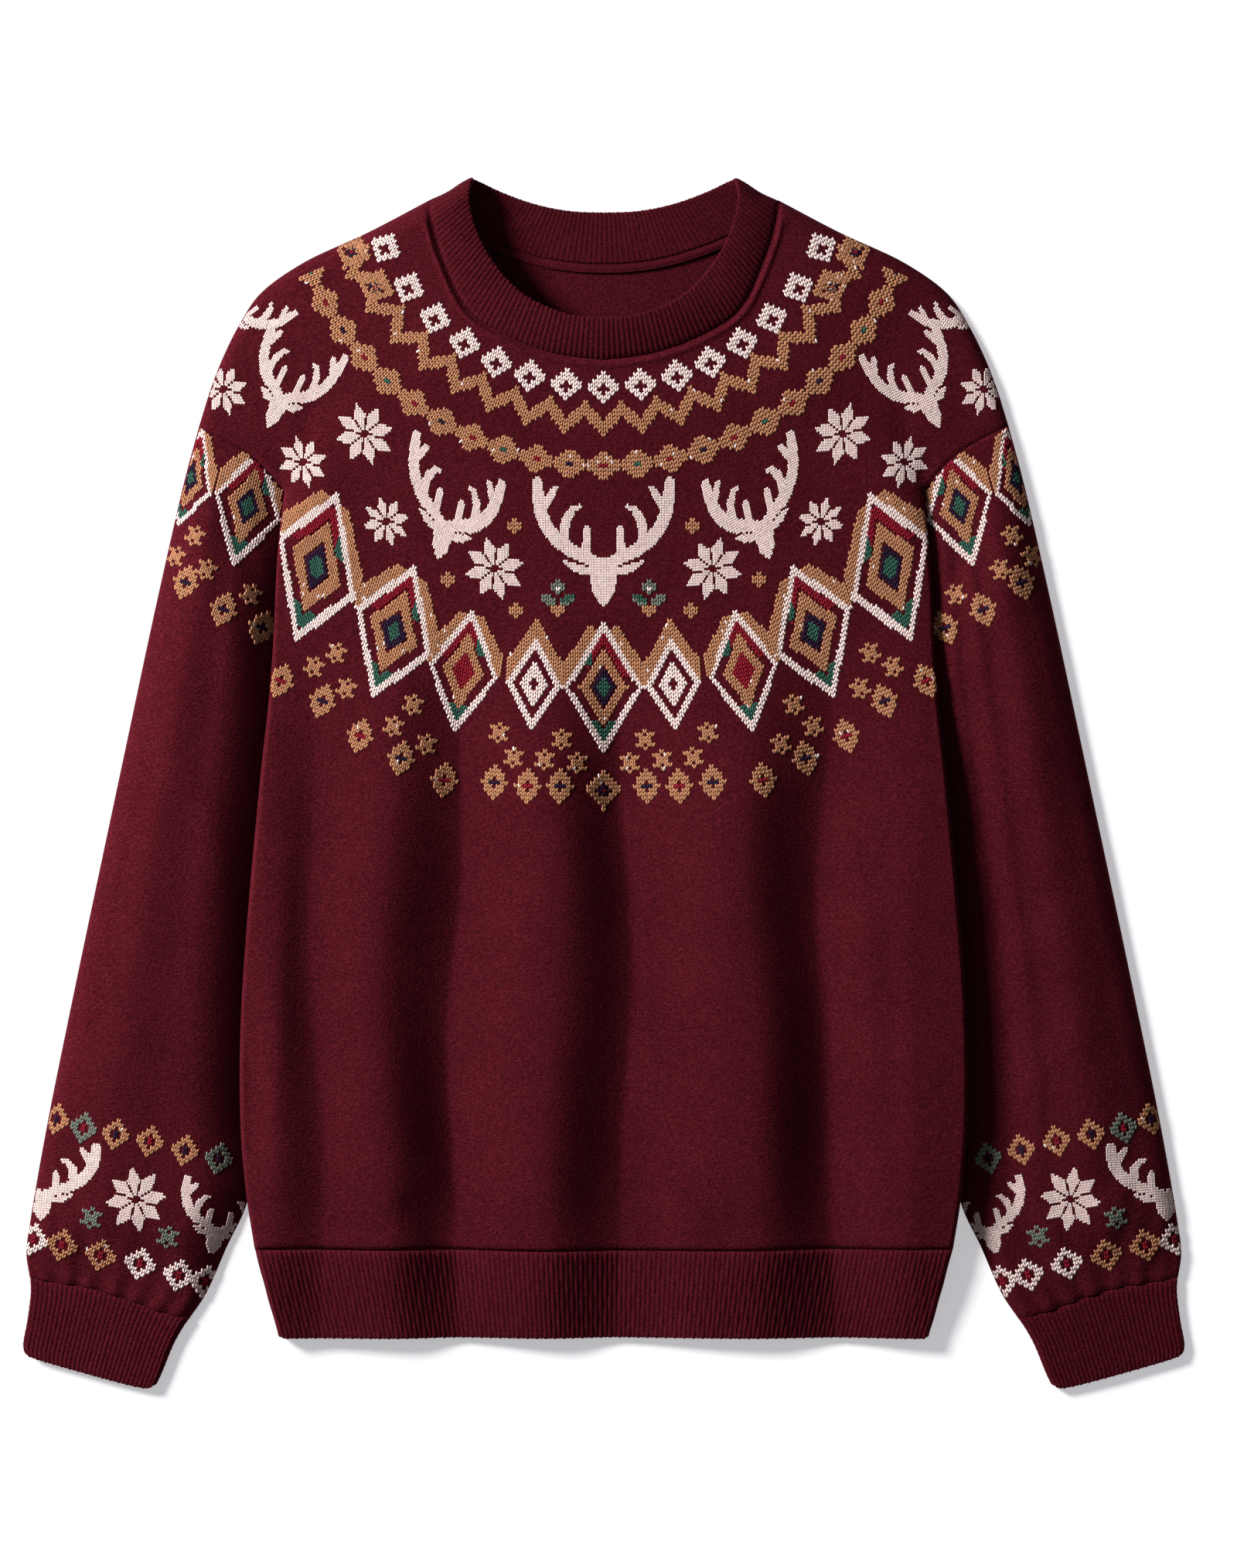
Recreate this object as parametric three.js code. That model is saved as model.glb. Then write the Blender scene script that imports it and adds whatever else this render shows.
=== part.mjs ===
// A knitted Christmas sweater, laid flat on its back with its front up.
// Millimetres. +Z is up, +Y runs towards the neck and +X to the viewer's right.
// The outline tables hold the right half, and the left half mirrors it.
// The folds and the sleeves' fullness are placed by hand and are not mirrored.

import * as THREE from 'three';

// Driving sizes: walls, gaps and ribs
const CLOTH = 2.4;              // brushed knit of the body and sleeves
const BAND = 2.6;               // rib bands, under their ribs
const COLLAR_WALL = 4.2;        // neck rib, folded double
const SEAM = 0.3;               // gap between two sewn pieces
const FOLD_GAP = 0.44;          // and between front and back along the folded sides
const REST_GAP = 0.4;           // air where the front lies on the back
const SIDE_GAP = 0.6;           // from the body's side to the sleeve beside it
const RIB_RISE = 0.9;
const HEM_RIB_PITCH = 3.06;
const CUFF_RIB_PITCH = 3.15;
const COLLAR_RIB_PITCH = 3.5;
const TAPE_WIDTH = 5.3;
const TAPE_WALL = 1.2;

// Driving sizes: how full the laid garment is
const ROLL = 13;                // the front reaches its height this far in from an edge
const UNDER_ROLL = 10;          // and the back reaches the table
const NECK_LIFT = 6.5;          // the front stands up at the neck seam
const NECK_REACH = 85;
const COLLAR_RISE = 5.5;        // and the collar's free edge stands higher
const COLLAR_LIFT_FALL = 0.6;   // but less so towards the folds
const ROLL_LIMIT = 1.08;        // how much tighter than its wall a roll may turn
const SLEEVE_BLEND = 70;        // below the armhole the sleeve takes its own fullness
const CUFF_LOFT = 1.4;
const CUFF_BLEND = 55;
const GATHERS = 5;              // small gathers above each cuff
const GATHER_RISE = 1.5;
const GATHER_REACH = 20;
const ARMPIT_X = 201;           // the crease that runs up from the underarm
const ARMPIT_DEPTH = 2.4;
const ARMPIT_TOP = 242;
const ARMPIT_INSIDE = 6;
const ARMPIT_OUTSIDE = 20;
const ARMPIT_FADE = 140;        // the crease has faded out at this height

// Outlines of the right half, seen from above
const COLLAR_FOLD = [
  { x: 82, y: 376.4 }, { x: 88.3, y: 373 }, { x: 97.5, y: 367 }, { x: 108.5, y: 362 },
];
const SHOULDER = [
  { x: 108.5, y: 362 }, { x: 146, y: 342.3 }, { x: 188, y: 322.5 }, { x: 214, y: 303.5 },
  { x: 227, y: 284 }, { x: 236.5, y: 265 }, { x: 244, y: 246 }, { x: 251.5, y: 222 },
];
const SHOULDER_TURN = 3;           // the row of that table where the shoulder turns down
const SLEEVE_OUTER = [
  { x: 251.5, y: 222 }, { x: 260.5, y: 188.5 }, { x: 278, y: 112 }, { x: 298.5, y: 16 },
  { x: 331, y: -138 }, { x: 346.5, y: -215 }, { x: 356.5, y: -272 }, { x: 359, y: -292 },
  { x: 357, y: -307 },
];
const CUFF_OUTER = [
  { x: 357, y: -307 }, { x: 356.6, y: -316 }, { x: 358.6, y: -333 }, { x: 361.4, y: -350 },
  { x: 360.2, y: -354.8 },
];
const CUFF_INNER = [
  { x: 257.6, y: -332.8 }, { x: 261, y: -337.5 }, { x: 267, y: -348 }, { x: 275.4, y: -368.2 },
  { x: 278.6, y: -374.6 },
];
const CUFF_SEAM = [
  { x: 357, y: -307 }, { x: 344, y: -309.7 }, { x: 320, y: -313.5 }, { x: 300, y: -319.4 },
  { x: 273, y: -329 }, { x: 257.6, y: -332.8 },
];
const CUFF_END = [
  { x: 360.2, y: -354.8 }, { x: 357.4, y: -356.6 }, { x: 327, y: -366 }, { x: 288, y: -376.1 },
  { x: 283.2, y: -376.4 }, { x: 278.6, y: -374.6 },
];
const ARMHOLE = [
  { x: 198.7, y: 182 }, { x: 219, y: 203.5 }, { x: 251.5, y: 222 },
];
const SIDE = [
  { x: 198.7, y: 182 }, { x: 202.6, y: 145 }, { x: 205.4, y: 86 }, { x: 208.5, y: 47 },
  { x: 213, y: 6 }, { x: 225, y: -138 }, { x: 225.6, y: -211 }, { x: 222, y: -256 },
  { x: 217, y: -289 },
];
const SLEEVE_INNER_END = [
  { x: 235, y: -289.5 }, { x: 247.7, y: -318 },
];
const SLEEVE_LEAVES_SIDE = -250;   // above this height the sleeve lies along the body
const SLEEVE_LAST_SHARE = 0.93;    // and up to this share of the side
const HEM_SIDE = [
  { x: 217, y: -289 }, { x: 211.2, y: -311 }, { x: 206, y: -330 }, { x: 202.8, y: -341 },
];
const HEM_SEAM_DIP = 1.6;          // the hem seam hangs this much lower at the centre
const HEM_END_Y = -345.8;
const HEM_CORNER = 5;
const NECK_SEAM = [
  { x: 0, y: 262 }, { x: 22, y: 264.4 }, { x: 39, y: 268.4 }, { x: 60, y: 277 },
  { x: 83, y: 292 }, { x: 99.4, y: 324 }, { x: 106.2, y: 346 }, { x: 108.5, y: 362 },
];
const COLLAR_EDGE = [
  { x: 0, y: 286.8 }, { x: 22, y: 289.5 }, { x: 50, y: 302.5 }, { x: 70, y: 325 },
  { x: 79.4, y: 344 }, { x: 83.4, y: 362 }, { x: 82, y: 376.4 },
];
const BACK_NECK = [
  { x: 0, y: 323 }, { x: 40, y: 327.5 }, { x: 72.5, y: 338.5 }, { x: 94, y: 350.5 },
  { x: 108.5, y: 362 },
];
const COLLAR_TOP = [
  { x: 0, y: 354.1 }, { x: 39, y: 359.6 }, { x: 64, y: 367.6 }, { x: 82, y: 376.4 },
];

// Folds of the front: ridge and trough heights across the body
const FLUTES = [
  { x: -226, rise: 11 }, { x: -206, rise: 14 }, { x: -178, rise: 8.5 }, { x: -135, rise: 14.5 },
  { x: -92, rise: 0 }, { x: -32, rise: 14 }, { x: 12, rise: 0 }, { x: 92, rise: 14.5 },
  { x: 138, rise: 0 }, { x: 196, rise: 14 }, { x: 226, rise: 14.5 },
];
const FLUTE_STRENGTH = [
  { y: -346, share: 0.5 }, { y: -289, share: 0.75 }, { y: -235, share: 1 }, { y: -30, share: 0.9 },
  { y: 120, share: 0 },
];
const FOLD_SHARP = 0.35;           // troughs are this much narrower than ridges
// How far a fold strays to the side on its way down
const FOLD_WANDER = [
  { reach: 4.5, down: 67, across: 48, start: 0 },
  { reach: 1.6, down: 29, across: 71, start: 2 },
];
const EVEN_LOFT = [
  { y: -346, rise: 1 }, { y: -289, rise: 2 }, { y: 60, rise: 4.5 }, { y: 376, rise: 4.5 },
];
// Fullness across each sleeve, from its outer edge to the edge beside the body
const LEFT_FULLNESS = [
  { across: 0, rise: 6 }, { across: 0.35, rise: 12 }, { across: 0.67, rise: 9.5 },
  { across: 0.8, rise: 7 }, { across: 0.9, rise: 3 }, { across: 1, rise: 0.5 },
];
const RIGHT_FULLNESS = [
  { across: 0, rise: 6 }, { across: 0.35, rise: 11 }, { across: 0.6, rise: 7 },
  { across: 0.8, rise: 3 }, { across: 1, rise: 1 },
];
// Half the height of the rolled edges
const OUTER_HALF = [
  { y: -376, half: 3.8 }, { y: -306, half: 4.4 }, { y: -200, half: 5 }, { y: 250, half: 5 },
  { y: 362, half: 6.2 },
];
const SIDE_HALF = [
  { y: -346, half: 4 }, { y: -289, half: 5.2 }, { y: -230, half: 7.2 }, { y: 110, half: 7.2 },
  { y: 182, half: 3.6 },
];
const INNER_HALF = [
  { y: -376, half: 3.8 }, { y: -256, half: 3.4 }, { y: 120, half: 3.4 }, { y: 182, half: 3.6 },
];

// Where the mesh has its rows and columns, as shares of a piece
const BODY_NECK_SHARE = 0.55;      // the column that ends at the neck's corner
const BODY_UNDERARM_SHARE = 0.75;  // the row that ends at the underarm
const BODY_ARM_SHARE = 0.86;       // the row that ends at the armhole's top
const SIDE_HOLD = 2.4;             // keeps the armhole's bend out of the middle of a panel
const NECK_SEAM_REACH = 12;        // this near a seam the wall's thickness turns upright
const ARM_SEAM_REACH = 1.5;
const FRONT_COLUMNS = [
  0, 0.07, 0.14, 0.21, 0.28, 0.35, 0.42, 0.48, 0.525, 0.55, 0.61, 0.67, 0.73, 0.79, 0.85, 0.9,
  0.94, 0.964, 0.982, 0.9945, 1,
];
const BACK_COLUMNS = [0, 0.18, 0.36, 0.48, 0.525, 0.55, 0.7, 0.85, 0.93, 0.965, 0.983, 0.9945, 1];
const BODY_ROWS = [
  0, 0.035, 0.085, 0.15, 0.22, 0.29, 0.36, 0.43, 0.5, 0.57, 0.635, 0.69, 0.725, 0.75,
  0.757, 0.775, 0.8, 0.825, 0.845, 0.855, 0.86, 0.868, 0.89, 0.92, 0.95, 0.975, 0.989, 0.9965, 1,
];
const SLEEVE_COLUMNS = [
  0, 0.012, 0.04, 0.09, 0.16, 0.24, 0.32, 0.4, 0.48, 0.56, 0.64, 0.72, 0.8, 0.87, 0.93, 0.97, 0.99, 1,
];
const FLAT_COLUMNS = [0, 0.012, 0.04, 0.09, 0.3, 0.7, 0.91, 0.96, 0.988, 1];
const SLEEVE_ROWS = [0, 0.05, 0.11, 0.18, 0.26, 0.35, 0.45, 0.55, 0.65, 0.75, 0.83, 0.89, 0.93, 0.97, 1];
const BAND_ROWS = [0, 0.45, 0.88, 1];
const COLLAR_ROWS = [0, 0.5, 0.93, 1];
const COLLAR_LIP = 1.1;            // the folded edge is this much thinner on each face
const CUFF_MARGIN = 0.1;           // shares of a band at its rolled edges that carry no ribs
const HEM_MARGIN = 0.03;
const COLLAR_MARGIN = 0.04;
const MARGIN_COLUMNS = [0, 0.12, 0.4];
const HEM_EDGE_COLUMNS = [0, 0.003, 0.009, 0.018, 0.03];
const HEM_MIDDLE_START = 0.065;
const HEM_MIDDLE_STEPS = 26;
const HEM_UNDER_COLUMNS = [0.25, 0.5, 0.75];
const COLLAR_FOLD_COLUMNS = [0.99, 0.97];
const CORNER_STEPS = 6;
const TAPE_OFFSET = 0.5;           // from the back neck seam to the tape
const TAPE_REACH = 0.74;           // share of the back neck that the tape covers
const TAPE_STEPS = 20;
const LINE_STEPS = 12;             // steps between two rows of an outline table

// Smooth step between the rows of a table, level at each row
function ramp(rows, key, column, at) {
  if (at <= rows[0][key]) return rows[0][column];
  for (let i = 1; i < rows.length; i++) {
    if (at <= rows[i][key]) {
      const t = (at - rows[i - 1][key]) / (rows[i][key] - rows[i - 1][key]);
      return THREE.MathUtils.lerp(rows[i - 1][column], rows[i][column], t * t * (3 - 2 * t));
    }
  }
  return rows[rows.length - 1][column];
}

function smooth(t) {
  return THREE.MathUtils.smoothstep(t, 0, 1);
}

// A line through plan points, read by its share of the length or by shares of its own
class PlanLine {
  constructor(points, shares) {
    this.points = points;
    const reach = [0];
    for (let i = 1; i < points.length; i++) {
      reach.push(reach[i - 1] + points[i].distanceTo(points[i - 1]));
    }
    this.length = reach[points.length - 1];
    this.shares = shares ?? reach.map((r) => r / this.length);
  }

  at(share) {
    const goal = THREE.MathUtils.clamp(share, 0, 1);
    let i = 1;
    while (i < this.points.length - 1 && this.shares[i] < goal) i++;
    const t = (goal - this.shares[i - 1]) / (this.shares[i] - this.shares[i - 1]);
    return this.points[i - 1].clone().lerp(this.points[i], t);
  }

  // Straight stretches between the given shares
  facets(shares) {
    return new PlanLine(shares.map((share) => this.at(share)), shares);
  }

  // The same line moved sideways, to its left for a positive distance
  moved(distance) {
    const last = this.points.length - 1;
    const points = this.points.map((p, i) => {
      const along = this.points[Math.min(i + 1, last)].clone().sub(this.points[Math.max(i - 1, 0)]);
      along.normalize();
      return new THREE.Vector2(p.x - along.y * distance, p.y + along.x * distance);
    });
    return new PlanLine(points, this.shares);
  }

  reversed() {
    return new PlanLine([...this.points].reverse(), this.shares.map((s) => 1 - s).reverse());
  }

  // Distance to the line, and its direction at the nearest spot
  nearest(x, y) {
    let distance = Infinity;
    let along = null;
    for (let i = 1; i < this.points.length; i++) {
      const a = this.points[i - 1];
      const dx = this.points[i].x - a.x;
      const dy = this.points[i].y - a.y;
      const t = THREE.MathUtils.clamp(((x - a.x) * dx + (y - a.y) * dy) / (dx * dx + dy * dy), 0, 1);
      const gap = Math.hypot(a.x + dx * t - x, a.y + dy * t - y);
      if (gap < distance) {
        distance = gap;
        along = new THREE.Vector2(dx, dy).normalize();
      }
    }
    return { distance, along };
  }

  distanceTo(x, y) {
    return this.nearest(x, y).distance;
  }
}

// A smooth line through the rows of an outline table
function outline(rows) {
  const knots = rows.map((row) => new THREE.Vector3(row.x, row.y, 0));
  const curve = new THREE.CatmullRomCurve3(knots, false, 'centripetal');
  const points = curve.getPoints((rows.length - 1) * LINE_STEPS);
  return new PlanLine(points.map((p) => new THREE.Vector2(p.x, p.y)));
}

function joined(...lines) {
  return new PlanLine(lines.flatMap((line, k) => (k ? line.points.slice(1) : line.points)));
}

// A stretch of a line between two of its points
function stretch(line, from, to) {
  return new PlanLine(line.points.slice(from, to + 1));
}

// A line of several stretches, each ending at its own share
function chained(...links) {
  return {
    at: (share) => {
      let start = 0;
      for (const { line, end } of links) {
        if (share <= end || end === 1) return line.at((share - start) / (end - start));
        start = end;
      }
      return links.at(-1).line.at(1);
    },
  };
}

// Points between four boundary lines: straight from bottom to top, and bent to follow the left
// and right lines, which reach further into the piece the lower the hold is
function patch(bottom, top, left, right, hold = 1) {
  const bend = (line, start, end, v) => line.at(v).sub(start.clone().lerp(end, v));
  return (u, v) => {
    const p = bottom.at(u).lerp(top.at(u), v);
    p.addScaledVector(bend(left, bottom.at(0), top.at(0), v), (1 - u) ** hold);
    p.addScaledVector(bend(right, bottom.at(1), top.at(1), v), u ** hold);
    return p;
  };
}

// The shares from one value to another, spread again over 0 to 1
function stretchShares(shares, from, to) {
  return shares.filter((s) => s >= from && s <= to).map((s) => (s - from) / (to - from));
}

function mirrored(point) {
  return new THREE.Vector2(-point.x, point.y);
}

// The lines of the cut
const collarFold = outline(COLLAR_FOLD);
const shoulder = outline(SHOULDER);
const armShares = stretchShares(BODY_ROWS, BODY_UNDERARM_SHARE, BODY_ARM_SHARE);
const armhole = outline(ARMHOLE).facets(armShares);
const shoulderTop = stretch(shoulder, 0, SHOULDER_TURN * LINE_STEPS);
const shoulderFall = stretch(shoulder, SHOULDER_TURN * LINE_STEPS, shoulder.points.length - 1);
const side = outline(SIDE);
const neckShares = stretchShares(FRONT_COLUMNS, 0, BODY_NECK_SHARE);
const neckSeam = outline(NECK_SEAM).facets(neckShares);
const backNeckShares = stretchShares(BACK_COLUMNS, 0, BODY_NECK_SHARE);
const backNeck = outline(BACK_NECK).facets(backNeckShares);
const collarEdge = outline(COLLAR_EDGE);
const collarTop = outline(COLLAR_TOP);
const cuffSeam = outline(CUFF_SEAM);
const sleeveTop = armhole.moved(-SEAM).reversed();
const sleeveOuter = outline([sleeveTop.at(0), ...SLEEVE_OUTER.slice(1)]);
const besideBody = SIDE.slice(1).filter((row) => row.y > SLEEVE_LEAVES_SIDE);
const lastBeside = side.at(SLEEVE_LAST_SHARE);
const sleeveInner = outline([
  sleeveTop.at(1),
  ...besideBody.map((row) => ({ x: row.x + SIDE_GAP, y: row.y })),
  { x: lastBeside.x + SIDE_GAP, y: lastBeside.y },
  ...SLEEVE_INNER_END,
  CUFF_SEAM[CUFF_SEAM.length - 1],
]);
const outerEdge = joined(collarFold, shoulder, outline(SLEEVE_OUTER), outline(CUFF_OUTER));
const bodyEdge = joined(side, outline(HEM_SIDE));
const armEdge = joined(sleeveInner, outline(CUFF_INNER));

// Distances to the rolled edges, and half the height there
function edges(x, y, onBody) {
  const right = Math.abs(x);
  const outer = outerEdge.distanceTo(right, y);
  const inner = (onBody ? bodyEdge : armEdge).distanceTo(right, y);
  const outerWeight = 1 / (outer + 1) ** 2;
  const innerWeight = 1 / (inner + 1) ** 2;
  const innerHalf = ramp(onBody ? SIDE_HALF : INNER_HALF, 'y', 'half', y);
  const half = (ramp(OUTER_HALF, 'y', 'half', y) * outerWeight + innerHalf * innerWeight)
    / (outerWeight + innerWeight);
  return { outer, inner, half, near: Math.min(outer, inner) };
}

// Folds between ridges and troughs: a smooth step blended with a quarter sine from the trough
function foldRise(x) {
  let k = 1;
  while (k < FLUTES.length - 1 && FLUTES[k].x < x) k++;
  const a = FLUTES[k - 1];
  const b = FLUTES[k];
  const t = THREE.MathUtils.clamp((x - a.x) / (b.x - a.x), 0, 1);
  const up = a.rise < b.rise ? t : 1 - t;
  const share = (1 - FOLD_SHARP) * smooth(up) + FOLD_SHARP * Math.sin((Math.PI / 2) * up);
  return THREE.MathUtils.lerp(Math.min(a.rise, b.rise), Math.max(a.rise, b.rise), share);
}

function wander(x, y) {
  const stray = FOLD_WANDER.map((w) => w.reach * Math.sin(y / w.down + x / w.across + w.start));
  return stray.reduce((sum, part) => sum + part, 0);
}

// How far the body's front stands over the flat lay
function bodyRise(x, y) {
  const share = ramp(FLUTE_STRENGTH, 'y', 'share', y);
  const folds = foldRise(x + wander(x, y));
  const even = ramp(EVEN_LOFT, 'y', 'rise', y);
  const neck = neckSeam.distanceTo(Math.abs(x), y) / NECK_REACH;
  const lift = NECK_LIFT * Math.exp(-neck * neck);
  const beside = Math.abs(x) - ARMPIT_X;
  const reach = beside < 0 ? ARMPIT_INSIDE : ARMPIT_OUTSIDE;
  const up = smooth((ARMPIT_TOP - y) / (ARMPIT_TOP - ARMHOLE[0].y));
  const down = smooth((y - ARMPIT_FADE) / (ARMHOLE[0].y - ARMPIT_FADE));
  const armpit = ARMPIT_DEPTH * up * down * Math.exp(-((beside / reach) ** 2));
  return share * folds + (1 - share) * even + lift - armpit;
}

// How far a sleeve's upper side stands over the flat lay
function sleeveRise(x, y, edge) {
  const across = edge.outer / (edge.outer + edge.inner);
  const full = ramp(x < 0 ? LEFT_FULLNESS : RIGHT_FULLNESS, 'across', 'rise', across);
  const toCuff = cuffSeam.distanceTo(Math.abs(x), y);
  const toBody = armhole.distanceTo(Math.abs(x), y);
  const own = THREE.MathUtils.lerp(CUFF_LOFT, full, smooth(toCuff / CUFF_BLEND));
  const wave = 0.5 - 0.5 * Math.cos(2 * Math.PI * GATHERS * across);
  const gather = GATHER_RISE * wave * Math.exp(-toCuff / GATHER_REACH);
  return THREE.MathUtils.lerp(bodyRise(x, y), own + gather, smooth(toBody / SLEEVE_BLEND));
}

// Quarter-round rise from 0 at an edge to 1
function roll(share) {
  const t = Math.min(share, 1);
  return Math.sqrt(1 - (1 - t) ** 2);
}

// Upper and lower heights of the laid garment
function upper(part, x, y, extra = 0) {
  const edge = edges(x, y, part.onBody);
  const rise = part.rise(x, y, edge);
  const top = 2 * part.wall + REST_GAP + rise + extra;
  return edge.half + (top - edge.half) * roll(edge.near / rollReach(top - edge.half, part.wall, ROLL));
}

function lower(part, x, y) {
  const edge = edges(x, y, part.onBody);
  return edge.half * (1 - roll(edge.near / rollReach(edge.half, part.wall, UNDER_ROLL)));
}

// A roll of this height may not reach further in, or its wall would cross itself at the edge
function rollReach(height, wall, most) {
  return THREE.MathUtils.clamp(height ** 2 / (ROLL_LIMIT * wall), wall, most);
}

// Collects points and triangles, and turns them outwards as one closed body
class Skin {
  constructor() {
    this.points = [];
    this.faces = [];
  }

  grid(rows) {
    return rows.map((row) => row.map((p) => this.points.push(p) - 1));
  }

  quad(a, b, c, d) {
    this.faces.push([a, b, c], [a, c, d]);
  }

  // Faces between the rows of a grid, turned over when asked
  sheet(ids, closed, over) {
    for (let j = 0; j + 1 < ids.length; j++) {
      const count = ids[j].length;
      for (let i = 0; i < (closed ? count : count - 1); i++) {
        const k = (i + 1) % count;
        if (over) this.quad(ids[j][i], ids[j + 1][i], ids[j + 1][k], ids[j][k]);
        else this.quad(ids[j][i], ids[j][k], ids[j + 1][k], ids[j + 1][i]);
      }
    }
  }

  // Strip between two closed rings that need not have as many points
  ring(a, aShare, b, bShare) {
    let i = 0;
    let j = 0;
    while (i < a.length || j < b.length) {
      const nextA = i < a.length ? (i + 1 < a.length ? aShare[i + 1] : 1) : 2;
      const nextB = j < b.length ? (j + 1 < b.length ? bShare[j + 1] : 1) : 2;
      if (nextA <= nextB) {
        this.faces.push([a[i % a.length], a[(i + 1) % a.length], b[j % b.length]]);
        i++;
      } else {
        this.faces.push([a[i % a.length], b[(j + 1) % b.length], b[j % b.length]]);
        j++;
      }
    }
  }

  geometry() {
    let volume = 0;
    for (const [a, b, c] of this.faces) {
      const cross = this.points[b].clone().cross(this.points[c]);
      volume += this.points[a].dot(cross);
    }
    const turned = volume < 0 ? this.faces.map(([a, b, c]) => [a, c, b]) : this.faces;
    const geometry = new THREE.BufferGeometry();
    const flat = this.points.flatMap((p) => [p.x, p.y, p.z]);
    geometry.setAttribute('position', new THREE.Float32BufferAttribute(flat, 3));
    geometry.setIndex(turned.flat());
    geometry.computeVertexNormals();
    return geometry;
  }
}

function direction(from, to) {
  return to.clone().sub(from).normalize();
}

// Points one wall inside a closed ring grid
function insideRing(rows, wall) {
  return rows.map((row, j) => row.map((p, i) => {
    const count = row.length;
    const around = direction(row[(i + count - 1) % count], p).add(direction(p, row[(i + 1) % count]));
    const along = new THREE.Vector3();
    if (j > 0) along.add(direction(rows[j - 1][i], p));
    if (j + 1 < rows.length) along.add(direction(p, rows[j + 1][i]));
    const normal = around.cross(along).normalize();
    if (j === 0 || j + 1 === rows.length) {
      const rim = acrossRim(row, i, count);
      normal.addScaledVector(rim, -normal.dot(rim)).normalize();
    }
    return p.clone().addScaledVector(normal, -wall);
  }));
}

// Level direction square to a rim, so that both faces of a seam stand upright
function acrossRim(row, i, count) {
  const before = row[(i + count - 1) % count];
  const after = row[(i + 1) % count];
  const turnsBack = after.clone().sub(row[i]).setZ(0).dot(row[i].clone().sub(before).setZ(0)) <= 0;
  const lowest = before.z < after.z ? before : after;
  const rim = (turnsBack ? lowest.clone().sub(row[i]) : after.clone().sub(before)).setZ(0);
  return new THREE.Vector3(-rim.y, rim.x, 0).normalize();
}

// A flattened tube: upper columns from its first edge to its second, lower columns back
function tube(part) {
  const ringOf = (v, upperColumns, lowerColumns, ribbed) => {
    const above = upperColumns.map((u) => {
      const p = part.above(u, v);
      const edgePoint = u === 0 || u === 1;
      const z = edgePoint ? edges(p.x, p.y, part.onBody).half : upper(part, p.x, p.y, part.lift(p.x, v));
      const rib = ribbed && !edgePoint ? part.rib(u, p) : 0;
      return new THREE.Vector3(p.x, p.y, z + rib - part.lip(v));
    });
    const below = [...lowerColumns].reverse().slice(1, -1).map((u) => {
      const p = part.below(u, v);
      return new THREE.Vector3(p.x, p.y, lower(part, p.x, p.y));
    });
    return [...above, ...below];
  };
  const shares = (upperColumns, lowerColumns) => [
    ...upperColumns.map((u) => u / 2),
    ...[...lowerColumns].reverse().slice(1, -1).map((u) => 1 - u / 2),
  ];
  const skin = new Skin();
  const dense = part.rows.map((v) => ringOf(v, part.upperColumns, part.lowerColumns, true));
  const plain = part.rows.map((v) => ringOf(v, part.innerColumns, part.lowerColumns, false));
  const outside = skin.grid(dense);
  const inside = skin.grid(insideRing(plain, part.wall * part.turn));
  const outerShares = shares(part.upperColumns, part.lowerColumns);
  const innerShares = shares(part.innerColumns, part.lowerColumns);
  skin.sheet(outside, true, false);
  skin.sheet(inside, true, true);
  skin.ring(inside[0], innerShares, outside[0], outerShares);
  skin.ring(outside.at(-1), outerShares, inside.at(-1), innerShares);
  return skin.geometry();
}

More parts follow.
